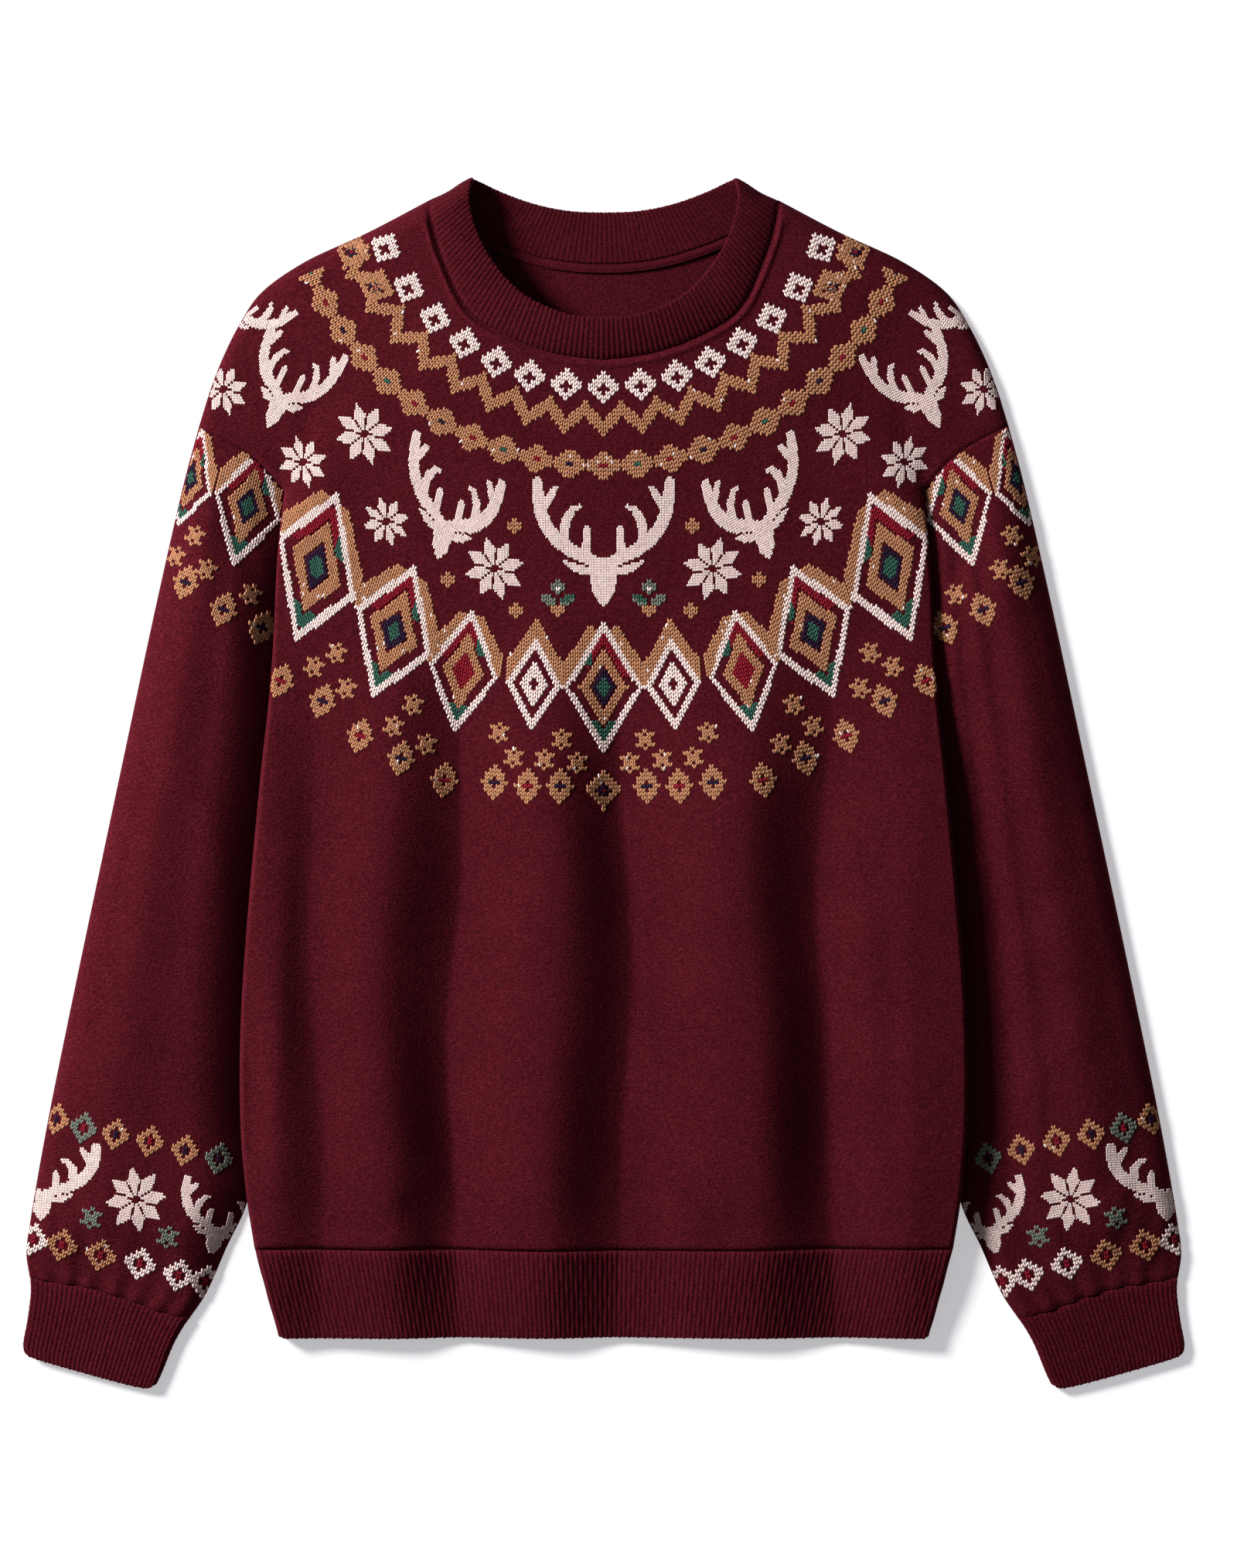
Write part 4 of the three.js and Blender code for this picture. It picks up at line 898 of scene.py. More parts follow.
def cuff(side, sign):
    """Upper and lower columns with eight to a rib, rows from the seam to the lip."""
    count = RIB_COLUMNS * round(length(CUFF_LINE) / CUFF_RIB_PITCH)
    over = clustered(count + 1, BAND_CROWD, BAND_CROWD)
    under = over[::-1][1:-1]
    top, low = cuff_plan(over, cuff_rows), cuff_plan(under, cuff_rows)
    plan = np.concatenate([top, low], 1)
    z = np.concatenate([cuff_height(sign * top[..., 0], top[..., 1]),
                        lower(low[..., 0], low[..., 1], False, BAND_WALL)], 1)
    ring = np.stack([sign * plan[..., 0], plan[..., 1], z], -1)
    across, along = ring_measures(ring)
    under_mask = np.broadcast_to(np.arange(ring.shape[1]) > count, ring.shape[:2])
    return band(f"cuff_{side}_rib", f"cuff_{side}", ring, across, along, CUFF_RIB_PITCH, BAND_SHELL,
                under_mask)


cuffs = {side: cuff(side, sign) for side, sign in (("left", -1), ("right", 1))}

# %% [markdown]
# ## Hem band
# The hem band carries the lower ends of the long folds, weaker than above, and its corners
# are rounded where the folded edge turns up into the sides. Its underside has half as many
# columns, because nobody sees it.
# %% Hem band
HEM_CENTRE = np.array([HEM_LINE[0], HEM_END[0]])
hem_plan = patch(*by_share(HEM_LINE, HEM_END, HEM_CENTRE, HEM_SIDE_LINE))


def hem_height(x, y):
    """Upper side of the hem band, rolled into its seam."""
    return upper(x, y, wall=BAND_WALL, seams=(HEM_LINE,))


hem_count = RIB_COLUMNS * round(2 * SIDE[-1][0] / HEM_RIB_PITCH / 2)
hem_half = clustered(hem_count + 1, 1.0, BAND_CROWD)
hem_over = np.concatenate([hem_half[::-1], -hem_half[1:]])
hem_under = hem_over[::-1][1:-1][::2]
hem_rows = np.linspace(0, 0.96, 26)
top_x, top_y = both_ways(hem_plan, hem_over, hem_rows)
low_x, low_y = both_ways(hem_plan, hem_under, hem_rows)
hem_ring = flat_ring((top_x, top_y), (low_x, low_y), hem_height(top_x, top_y),
                     lower(low_x, low_y, True, BAND_WALL))
hem_across, hem_along = ring_measures(hem_ring)
hem_mask = np.broadcast_to(np.arange(hem_ring.shape[1]) >= len(hem_over), hem_ring.shape[:2])
hem_rib = band("hem_rib", "hem_band", hem_ring, hem_across, hem_along, HEM_RIB_PITCH, BAND_SHELL,
               hem_mask)

# %% [markdown]
# ## Collar
# The collar is one rib ring, folded double. Its front half lies over its back half, and the
# two meet in the folds at the sides of the neck. The ribs show outside on the front, and on
# the inside of the back half, which is seen through the neck.
# %% Collar
COLLAR_EDGE_LINE, COLLAR_TOP_LINE = outline(COLLAR_EDGE), outline(COLLAR_TOP)
COLLAR_LIFT_FALL = 0.6
COLLAR_CROWN = 1.1
COLLAR_CROWD = 1.1
FOLD_HOLD = 12             # how tightly the bend of the columns keeps to the side folds


def across_neck(seam_line, edge_line, share, v):
    """Points from a seam line to an edge line, for shares from the right fold to the left one.
    Close to the folds the columns bend with the fold line."""
    centre = np.array([seam_line[0], edge_line[0]])
    plan = patch(*by_share(seam_line, edge_line, centre, COLLAR_FOLD_LINE[::-1]), FOLD_HOLD)
    flat = plan(np.abs(1 - 2 * share), v)
    return flat[..., 0] * np.where(share > 0.5, -1, 1), flat[..., 1]


def collar_height(x, y, v):
    """Upper side of the collar, rising towards its free edge and more so at the front."""
    lift = v[:, None] * COLLAR_RISE * (1 - COLLAR_LIFT_FALL * np.abs(x) / NECK_SEAM[-1][0])
    outer, inner, half = edges(x, y, True)
    crown = COLLAR_CROWN * np.sin(np.pi * v)[:, None]
    top = 2 * COLLAR_WALL + REST_GAP + body_rise(x, y) - 2 * (COLLAR_WALL - CLOTH_WALL) + lift + crown
    top = top + seam_roll((NECK_LINE,), x, y)
    near = np.minimum(outer, inner)
    return half + (top - half) * roll(near / roll_reach(top - half, COLLAR_WALL, ROLL))


collar_count = RIB_COLUMNS * round(2 * length(NECK_LINE) / COLLAR_RIB_PITCH)
collar_share = clustered(collar_count + 1, COLLAR_CROWD, COLLAR_CROWD)
collar_rows = np.linspace(0, 0.965, 24)
front_x, front_y = across_neck(NECK_LINE, COLLAR_EDGE_LINE, collar_share, collar_rows)
back_share = collar_share[::-1][1:-1][::2]
back_x, back_y = across_neck(BACK_NECK_LINE, COLLAR_TOP_LINE, back_share, collar_rows)
collar_ring = flat_ring((front_x, front_y), (back_x, back_y),
                        collar_height(front_x, front_y, collar_rows),
                        lower(back_x, back_y, True, COLLAR_WALL))
collar_across, collar_along = ring_measures(collar_ring)
collar_mask = np.broadcast_to(np.arange(collar_ring.shape[1]) > collar_count, collar_ring.shape[:2])
# The collar wears the darker copy of the rib, a painted shade.
collar_rib = band("collar_rib", "collar", collar_ring, collar_across, collar_along, COLLAR_RIB_PITCH,
                  COLLAR_SHELL, collar_mask, NECK_RIB_PAINTED_SHADE)

# %% [markdown]
# ## Neck tape
# A narrow tape covers the back neck seam inside. It is a low arched strip along the seam
# line, with a row of stitches near each edge.
# %% Neck tape
TAPE_WIDTH, TAPE_RISE, TAPE_REACH, TAPE_BASE = 5.3, 1.2, 0.74, 2.7
TAPE_INSET = 0.5
TAPE_EDGE, TAPE_RIM = 0.06, 0.45   # share of the width that stays level, and its share of the rise
GROOVE_AT, GROOVE_WIDTH, GROOVE_DEPTH = 0.33, 0.06, 0.3
TAPE_COLUMNS, TAPE_ROWS = 160, 13


def neck_tape():
    """Strip across the back neck: shares of the seam line by a crowned profile of heights."""
    share = np.linspace(-TAPE_REACH, TAPE_REACH, TAPE_COLUMNS)
    near, far = moved(BACK_NECK_LINE, -TAPE_INSET), moved(BACK_NECK_LINE, -TAPE_INSET - TAPE_WIDTH)
    w = np.linspace(0, 1, TAPE_ROWS)
    groove = np.exp(-(((np.abs(w - 0.5) - GROOVE_AT) / GROOVE_WIDTH) ** 2))
    crown = np.sin(np.pi * np.clip(w, TAPE_EDGE, 1 - TAPE_EDGE)) ** 0.5
    top = TAPE_BASE + TAPE_RISE * (TAPE_RIM + (1 - TAPE_RIM) * crown) - GROOVE_DEPTH * groove
    a, b = at(near, np.abs(share)), at(far, np.abs(share))
    flat = a[None] * (1 - w)[:, None, None] + b[None] * w[:, None, None]
    x = flat[..., 0] * np.sign(share + 1e-9)
    upper_side = np.stack([x, flat[..., 1], np.broadcast_to(top[:, None], x.shape)], -1)
    under_side = np.stack([x, flat[..., 1], np.full(x.shape, TAPE_BASE)], -1)
    points, quads = close_shell(upper_side, under_side, False)
    piece = fill_mesh("neck_tape_strip", points, quads)
    piece.data.materials.append(TAPE)
    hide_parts("neck_tape")
    return piece


tape = neck_tape()
print(tape.name, len(tape.data.polygons), "faces")

# %% [markdown]
# ## Yarns of the pattern
# The pattern is knitted in: each stitch is a V of two slanting legs in a thicker, paler yarn
# than the ground. A material for each yarn takes its tone from a number stored with every
# leg, so that no two stitches are quite alike, and a fine twist runs along the yarn.
# %% Yarn materials
YARNS = {
    "cream": (0.74, 0.575, 0.54),
    "tan": (0.385, 0.176, 0.092),
    "crimson": (0.20, 0.010, 0.020),
    "green": (0.032, 0.092, 0.066),
    "sage": (0.14, 0.155, 0.122),
    "plum": (0.022, 0.010, 0.026),
}
YARN_GRAIN = 1700          # turns a metre
TONE_SHARE, GRAIN_SHARE = 0.42, 0.5
DARKER, LIGHTER = 0.55, 1.22
TWIST_BUMP, TWIST_DEPTH = 0.35, 0.0006


def yarn_material(name, colour):
    """Yarn colour, scaled by the leg's own tone and a fine noise, with a bump of fibres."""
    material, tree, shader, add = new_material(f"{name}_yarn", 0.9)
    where = add("ShaderNodeTexCoord").outputs["Object"]
    tone = add("ShaderNodeAttribute", attribute_name="tone").outputs["Fac"]
    fibre = noise(add, where, YARN_GRAIN)
    level = weighed(add, tone, TONE_SHARE, fibre, GRAIN_SHARE)
    dark, light = (tuple(k * c for c in colour) for k in (DARKER, LIGHTER))
    tree.links.new(ramp_node(add, level, [(0.1, dark), (0.46, colour), (0.85, light)]),
                   shader.inputs["Base Color"])
    bump = add("ShaderNodeBump", {"Height": fibre, "Strength": TWIST_BUMP, "Distance": TWIST_DEPTH})
    tree.links.new(bump.outputs["Normal"], shader.inputs["Normal"])
    return material


yarn_materials = {name: yarn_material(name, colour) for name, colour in YARNS.items()}
YARN_NAMES = list(YARNS)
print("yarns", YARN_NAMES)

# %% [markdown]
# ## Motif charts
# Small motifs are charted by hand, one letter for each stitch, as on squared paper: c is
# cream, t tan, r crimson, g green, s sage and d plum. A dot leaves the ground as it is.
# %% Small motifs are charted one letter for each stitch, as on squared paper: c is cream, t tan, r crimson, g green, s sage and d plum. A dot leaves the ground as it is.
CREAM, TAN, CRIMSON, GREEN, SAGE, PLUM = range(6)
LETTERS = {"c": CREAM, "t": TAN, "r": CRIMSON, "g": GREEN, "s": SAGE, "d": PLUM}
OPEN_DIAMOND = """
...c...
..ccc..
.ccccc.
ccc.ccc
cc...cc
.cc.cc.
..ccc..
...c...
"""
FLORET = """
..t..
tt.tt
.ttt.
.ttt.
tt.tt
..t..
"""
DOT = """
.t.
ttt
ttt
.t.
"""
HOLED_DIAMOND = """
...t...
..ttt..
.ttttt.
.tt.tt.
ttdddtt
.tt.tt.
.ttttt.
..ttt..
...t...
"""
LARGE_HOLED_DIAMOND = """
....t....
...ttt...
..ttttt..
.ttt.ttt.
ttt.d.ttt
tt.drd.tt
.tt.d.tt.
..ttttt..
...ttt...
....t....
....t....
"""
CUFF_DIAMOND = """
...t...
..ttt..
.tt.tt.
tt.r.tt
tt.r.tt
.tt.tt.
..ttt..
...t...
"""
LEAF = """
...s...
..sss..
..scs..
...s...
gg...ss
sgg.sss
.ss.ss.
..ttt..
..ttt..
...t...
"""


def chart(text, swap=None):
    """Columns, rows and letters of a chart's stitches, counted from its middle."""
    grid = np.array([list(line) for line in text.strip().split("\n")])
    for old, new in (swap or {}).items():
        grid[grid == old] = new
    row, column = np.nonzero(grid != ".")
    letters = np.array([LETTERS[c] for c in grid[row, column]])
    return column - (grid.shape[1] - 1) / 2, (grid.shape[0] - 1) / 2 - row, letters


print("stitches of a leaf sprig", len(chart(LEAF)[2]))

# %% [markdown]
# ## Legs from a chart or a formula
# Everything is laid in rows and columns of one stitch size, turned with the motif. Each
# stitch has two legs, a quarter of its width to the left and right of its middle. Stars and
# large diamonds are regular, so a formula in the motif's own plan decides each leg's yarn.
# %% Legs from a chart or a formula
STITCH_WIDE = 2.9
STITCH_HIGH = 2.45
LEG_ASIDE = 0.25           # of a stitch's width


def frame_of(x, y, turn, lean, wide, high):
    """A motif's own axes in the plan: across turns by one angle, up leans by another."""
    a, b = math.radians(turn), math.radians(lean)
    return (np.array([x, y]), wide * np.array([math.cos(a), math.sin(a)]),
            high * np.array([-math.sin(b), math.cos(b)]))


def legs_of(stitches, motif):
    """Two legs for each charted stitch: plan spot, slant and yarn."""
    column, row, yarn = stitches
    spot, across, up = motif
    centre = spot + column[:, None] * STITCH_WIDE * across + row[:, None] * STITCH_HIGH * up
    offset = LEG_ASIDE * STITCH_WIDE * across
    direction = np.broadcast_to(up / np.linalg.norm(up), centre.shape)
    plain = np.ones(len(row))
    return [np.column_stack([centre + side * offset, direction, side * plain, yarn, plain])
            for side in (-1, 1)]


def legs_by(yarn_of, half_wide, half_high, motif, fine=1.0):
    """Legs on the motif's lattice wherever a formula of the place across and up gives a yarn.
    half_wide and half_high are in millimetres of the motif's own plan, and fine is the size of
    a stitch on the cloth against the plain one."""
    spot, across, up = motif
    wide, high = fine * STITCH_WIDE / np.linalg.norm(across), fine * STITCH_HIGH / np.linalg.norm(up)
    columns = np.arange(-int(half_wide / wide) - 1, int(half_wide / wide) + 2)
    rows = np.arange(-int(half_high / high) - 1, int(half_high / high) + 2)
    column, row, side = (g.ravel() for g in np.meshgrid(columns, rows, (-1, 1), indexing="ij"))
    p, q = (column + LEG_ASIDE * side) * wide, row * high
    yarn = yarn_of(p, q)
    keep = yarn >= 0
    centre = spot + p[:, None] * across + q[:, None] * up
    direction = np.broadcast_to(up / np.linalg.norm(up), centre.shape)
    return [np.column_stack([centre, direction, side, yarn, np.full(len(p), fine)])[keep]]


print("stitch", STITCH_WIDE, "by", STITCH_HIGH, "mm")

# %% [markdown]
# ## Stags, stars and diamonds
# A stag's head is drawn in a few straight strokes with round ends, and its other half is the
# mirror. A star has eight petals, and a diamond is made of rings of one measure m, which is 0
# in its middle and 1 on its outline.
# %% Stags, stars and diamonds
FINE = 0.62                # stags and stars are knitted in finer stitches
# Right half of a stag's head as strokes: x, y to x, y, then the half width at each end
STAG_STROKES = [
    (0, -18, 0, -22, 8.2, 8.4), (0, -22, 0, -29, 8.4, 7.2), (0, -29, 0, -36, 7.2, 3.4),
    (0, -36, 0, -39.5, 3.4, 1.2), (4, -14, 13, -9.5, 3.8, 3.9), (13, -9.5, 21, -5, 3.9, 3.8),
    (21, -5, 29, 1, 3.8, 3.7), (29, 1, 35, 8.5, 3.7, 3.6), (35, 8.5, 39, 18, 3.6, 3.5),
    (39, 18, 40.6, 29, 3.5, 3.3), (40.6, 29, 41, 37, 3.3, 2.6), (38, 20, 33, 28, 2.8, 2.3),
    (33, 28, 30, 33, 2.3, 1.6), (25, 0, 23.5, 13, 2.8, 2.6), (23.5, 13, 19, 20, 2.6, 1.9),
    (19, 20, 15, 21.5, 1.9, 1.2), (11, -8, 10.2, 7.5, 2.5, 1.9), (9, -18.6, 16, -16.8, 2.1, 2.5),
    (16, -16.8, 24, -12.6, 2.5, 0.8),
]
BOLD_LARGE, BOLD_SMALL = 1.1, 1.35
STAG_EAR_GAP = (9.8, -15.2, 21, -10.4, 0.55, 0.5)
PETAL_TURN = 15.5          # degrees from the up direction to the nearest petal
PETAL_STEP = 45
PETAL_GAP = 0.62
PETAL_FULL, PETAL_TIP, STAR_EYE = 0.39, 0.56, 0.07
TAN_RING, COLOUR_RING, OUTLINE_FROM = (0.34, 0.60), (0.64, 0.82), 0.83
CORE_RIM, CORE = 0.30, 0.17
# Where the coloured ring changes yarn, against half the height and half the width
CRIMSON_ABOVE, CRIMSON_RIGHT, GREEN_BELOW = 0.15, -0.42, -0.52
GREEN_ABOVE, GREEN_LEFT = 0.30, -0.28
EDGE_THICK, EDGE_FREE, EDGE_GROWS, EDGE_FLARE = 11.5, 0.08, 0.34, 4
EDGE_REACH = 1.02
SMALL_RING, SMALL_OUTLINE_FROM, SMALL_EDGE, SMALL_FLARE = (0.16, 0.5), 0.78, 12.5, 3


def in_stroke(p, q, stroke):
    """Whether a place is nearer to a line than a half width that changes along it."""
    x0, y0, x1, y1, start, stop = stroke
    t = np.clip(((p - x0) * (x1 - x0) + (q - y0) * (y1 - y0)) / ((x1 - x0) ** 2 + (y1 - y0) ** 2), 0, 1)
    return np.hypot(p - x0 - t * (x1 - x0), q - y0 - t * (y1 - y0)) < start + (stop - start) * t


def stag(bold):
    """Cream where any stroke of the head, ear or antler lies, apart from a line above the ear.
    A small stag has bolder strokes, so that its antlers don't get thin."""
    def yarn_of(p, q):
        side = np.abs(p)
        strokes = [(*stroke[:4], bold * stroke[4], bold * stroke[5]) for stroke in STAG_STROKES[4:]]
        inside = np.any([in_stroke(side, q, stroke) for stroke in (*STAG_STROKES[:4], *strokes)], axis=0)
        return np.where(inside & ~in_stroke(side, q, STAG_EAR_GAP), CREAM, -1)
    return yarn_of


def star(radius):
    """Eight petals: each fills its eighth of a turn up to a thin gap, and from six tenths of
    the radius its half width shrinks evenly to the tip."""
    def yarn_of(p, q):
        r = np.hypot(p, q)
        turn = (np.degrees(np.arctan2(p, q)) - PETAL_TURN) / PETAL_STEP
        off = np.abs(turn - np.round(turn)) * math.radians(PETAL_STEP) * r
        half = np.minimum(PETAL_FULL * r - PETAL_GAP, PETAL_TIP * (radius - r))
        return np.where((off < half) & (r > STAR_EYE * radius), CREAM, -1)
    return yarn_of


def ring_measure(p, q, half_wide, half_high):
    """m = across over half width plus up over half height, and the first of the two alone."""
    side = np.abs(p) / half_wide
    return side + np.abs(q) / half_high, side


def on_upper_edge(q, m, side, half_high, thick):
    """Whether a place is above the upper outline by less than a thickness."""
    return (m > 1) & (q > 0) & (q - half_high * (1 - side) < thick) & (side < EDGE_REACH)


def big_diamond(half_wide, half_high, core):
    """Rings of equal m: a cream outline, crimson under its upper sides, green over the lower
    tip, tan inside, a coloured core, and a tan edge above the outline that leaves the tip free."""
    def yarn_of(p, q):
        m, side = ring_measure(p, q, half_wide, half_high)
        yarn = np.full(np.shape(p), -1)
        yarn[(m > TAN_RING[0]) & (m < TAN_RING[1])] = TAN
        yarn[m <= CORE_RIM] = PLUM if core == GREEN else CRIMSON
        yarn[m <= CORE] = core
        ring = (m > COLOUR_RING[0]) & (m < COLOUR_RING[1])
        yarn[ring & (q > CRIMSON_ABOVE * half_high) & (p > CRIMSON_RIGHT * half_wide)] = CRIMSON
        yarn[ring & (q < GREEN_BELOW * half_high)] = GREEN
        yarn[ring & (q > GREEN_ABOVE * half_high) & (p < GREEN_LEFT * half_wide)] = GREEN
        yarn[(m <= 1) & (m >= OUTLINE_FROM)] = CREAM
        thick = EDGE_THICK * smooth((side - EDGE_FREE) / EDGE_GROWS) + EDGE_FLARE * side**4
        yarn[on_upper_edge(q, m, side, half_high, thick)] = TAN
        return yarn
    return yarn_of


def small_diamond(half_wide, half_high):
    """Cream outline, a cream diamond with a hole inside it, and a thick tan edge on top."""
    def yarn_of(p, q):
        m, side = ring_measure(p, q, half_wide, half_high)
        yarn = np.full(np.shape(p), -1)
        yarn[(m > SMALL_RING[0]) & (m < SMALL_RING[1])] = CREAM
        yarn[(m <= 1) & (m >= SMALL_OUTLINE_FROM)] = CREAM
        yarn[on_upper_edge(q, m, side, half_high, SMALL_EDGE + SMALL_FLARE * side**4)] = TAN
        return yarn
    return yarn_of


print("stag strokes", len(STAG_STROKES))

# %% [markdown]
# ## The yoke
# Three rings run round the neck on circles with one centre. Below them come the stags and
# stars, the band of large diamonds and the scattered florets. Each row of a table is a motif
# on the right half with its place, its turn and its lean, and the left half mirrors it.
# %% The yoke
YOKE_CENTRE = (0, 393.5)
RING_ONE = 148.5
RING_TWO = 168.0
RING_THREE = 197.0
RING_ONE_X = [0, 23, 45.6, 66.2, 85.9, 104.2, 120.5, 134.9]
ZIGZAG_PERIOD = 23.2
ZIGZAG_SWING = 6.2
ZIGZAG_THICK = 5
ZIGZAG_DEEP, ZIGZAG_REACH = 12, 1.22  # half depth in millimetres, half turn in radians
CHAIN_PERIOD = 21
CHAIN_HALF = 9.6
CHAIN_STRETCH, CHAIN_HOLE = 0.62, 2.2
CHAIN_DEEP, CHAIN_REACH = 10, 1.17
# x, y, turn and lean in degrees, width and height against the charted size
STAGS = [(0, 149.7, 0, 0, 1, 1), (96, 171, 30, 12.5, 0.74, 0.82), (194.9, 248.5, 27, 26, 0.6, 0.78),
         (222, 297, 55, 55, 0.55, 0.6)]
# x, y, radius
STARS = [(67.7, 132.9, 19), (148.3, 216.4, 18.5), (134.9, 162.1, 15), (186.7, 199.1, 15.5),
         (236, 244.2, 15.5)]
DOTS = [(55.2, 159.3), (96.5, 126.1), (54.2, 106.9)]
LEAVES = [(28.3, 114.6)]
STAG_HALF = (46, 43)
RIM_ROOM = 13              # room above a diamond for its tan edge
# x, y, half width, half height, turn, lean, kind
DIAMONDS = [(0, 59.4, 25.4, 41.3, 0, 0, "green"), (43.2, 61.3, 16.8, 29.3, 5, 3, "small"),
            (86.9, 69.5, 22.1, 39.4, 12, 8.4, "crimson"), (130.1, 94, 28.3, 43.9, 33, 17.8, "green"),
            (178, 134, 31.4, 49, 39, 16, "green")]
HOLED = [(26.9, -2, 3), (47, -2, 4), (67.7, 0.4, 5), (98.9, 1.8, 8), (125.3, 15.3, 12),
         (150.7, 29.2, 16), (174.2, 50.8, 20), (200.2, 63.3, 22)]
FLORETS = [(16.3, 12.4), (36.5, 14.3), (55.7, 15.7), (25.9, 26.8), (64.8, 31.1), (109.9, 23.9),
           (130.1, 34.9), (118.1, 48.4), (159.4, 58.5), (179.5, 71.9), (165.6, 80.5)]
HOLE_COLOURS = "drdrdrdr"
RING_TWO_DIAMONDS = [(156, 329), (141.5, 306.8)]
CENTRE_DIAMOND = (0, -4.9)
# Width and height of the charted motifs against the plain stitch
OPEN_SIZE, HOLED_SIZE, FLORET_SIZE = (0.93, 1.02), (0.84, 1), (0.82, 0.88)
CENTRE_SIZE, RING_TWO_SIZE, LEAF_SIZE, STAR_SIZE = (0.8, 0.95), (0.9, 0.9), (1, 0.95), (1, 1.04)
# Degrees: how far motifs turn with the ring, with their distance from the centre, and alone
OPEN_TURN, FLORET_TURN, RING_TWO_TURN, STAR_TURN = 0.45, 0.12, 24, 4
print("motifs on the right half", len(RING_ONE_X) + len(STAGS) + len(STARS) + len(DOTS) + len(LEAVES)
      + len(DIAMONDS) + len(HOLED) + len(FLORETS) + len(RING_TWO_DIAMONDS))

# %% [markdown]
# ## Rings and mirrored motifs
# The rings' stitches follow circles round the neck. A formula of the arc from the centre
# front and the height above the circle gives a zigzag and a chain of diamonds.
# %% Rings and mirrored motifs

def mirrored(legs):
    """Legs on the other half: place, direction and slant change sides."""
    return legs * np.array([-1, 1, -1, 1, -1, 1, 1])


def on_both_halves(legs):
    """A motif and its mirror image."""
    return [*legs, *[mirrored(part) for part in legs]]


def ring_legs(radius, half_deep, reach, yarn_of):
    """Legs on rows that follow a circle round the neck. The formula gets the arc from the
    centre front and the height above the circle."""
    rows = np.arange(-int(half_deep / STITCH_HIGH) - 1, int(half_deep / STITCH_HIGH) + 2)
    columns = np.arange(-int(reach * radius / STITCH_WIDE), int(reach * radius / STITCH_WIDE) + 1)
    column, row, side = (g.ravel() for g in np.meshgrid(columns, rows, (-1, 1), indexing="ij"))
    arc, deep = (column + LEG_ASIDE * side) * STITCH_WIDE, row * STITCH_HIGH
    yarn = yarn_of(arc, deep)
    keep = yarn >= 0
    angle = arc / radius
    radial = np.stack([np.sin(angle), -np.cos(angle)], -1)
    centre = np.array(YOKE_CENTRE) + (radius - deep)[:, None] * radial
    return [np.column_stack([centre, -radial, side, yarn, np.ones(len(yarn))])[keep]]


def zigzag(arc, deep):
    """Tan where the height is within a thickness of a triangle wave along the ring."""
    wave = ZIGZAG_SWING * (4 * np.abs((arc / ZIGZAG_PERIOD + 0.5) % 1 - 0.5) - 1)
    return np.where(np.abs(deep - wave) < ZIGZAG_THICK, TAN, -1)


def chain(arc, deep):
    """Tan diamonds that touch at their corners, each with a small coloured hole."""
    cell = np.floor(arc / CHAIN_PERIOD + 0.5)
    place = arc - cell * CHAIN_PERIOD
    m = np.abs(place) / (CHAIN_STRETCH * CHAIN_PERIOD) + np.abs(deep) / CHAIN_HALF
    hole = np.choose(cell.astype(int) % 4, [CRIMSON, GREEN, CRIMSON, PLUM])
    yarn = np.where(m < 1, TAN, -1)
    return np.where(np.hypot(place, deep) < CHAIN_HOLE, hole, yarn)


print("zigzags on the ring", round(2 * ZIGZAG_REACH * RING_TWO / ZIGZAG_PERIOD, 1))

# %% [markdown]
# ## All legs of the yoke
# The tables are read from the neck downwards. A motif on the centre line is laid once, and
# any other one twice.
# %% All legs of the yoke

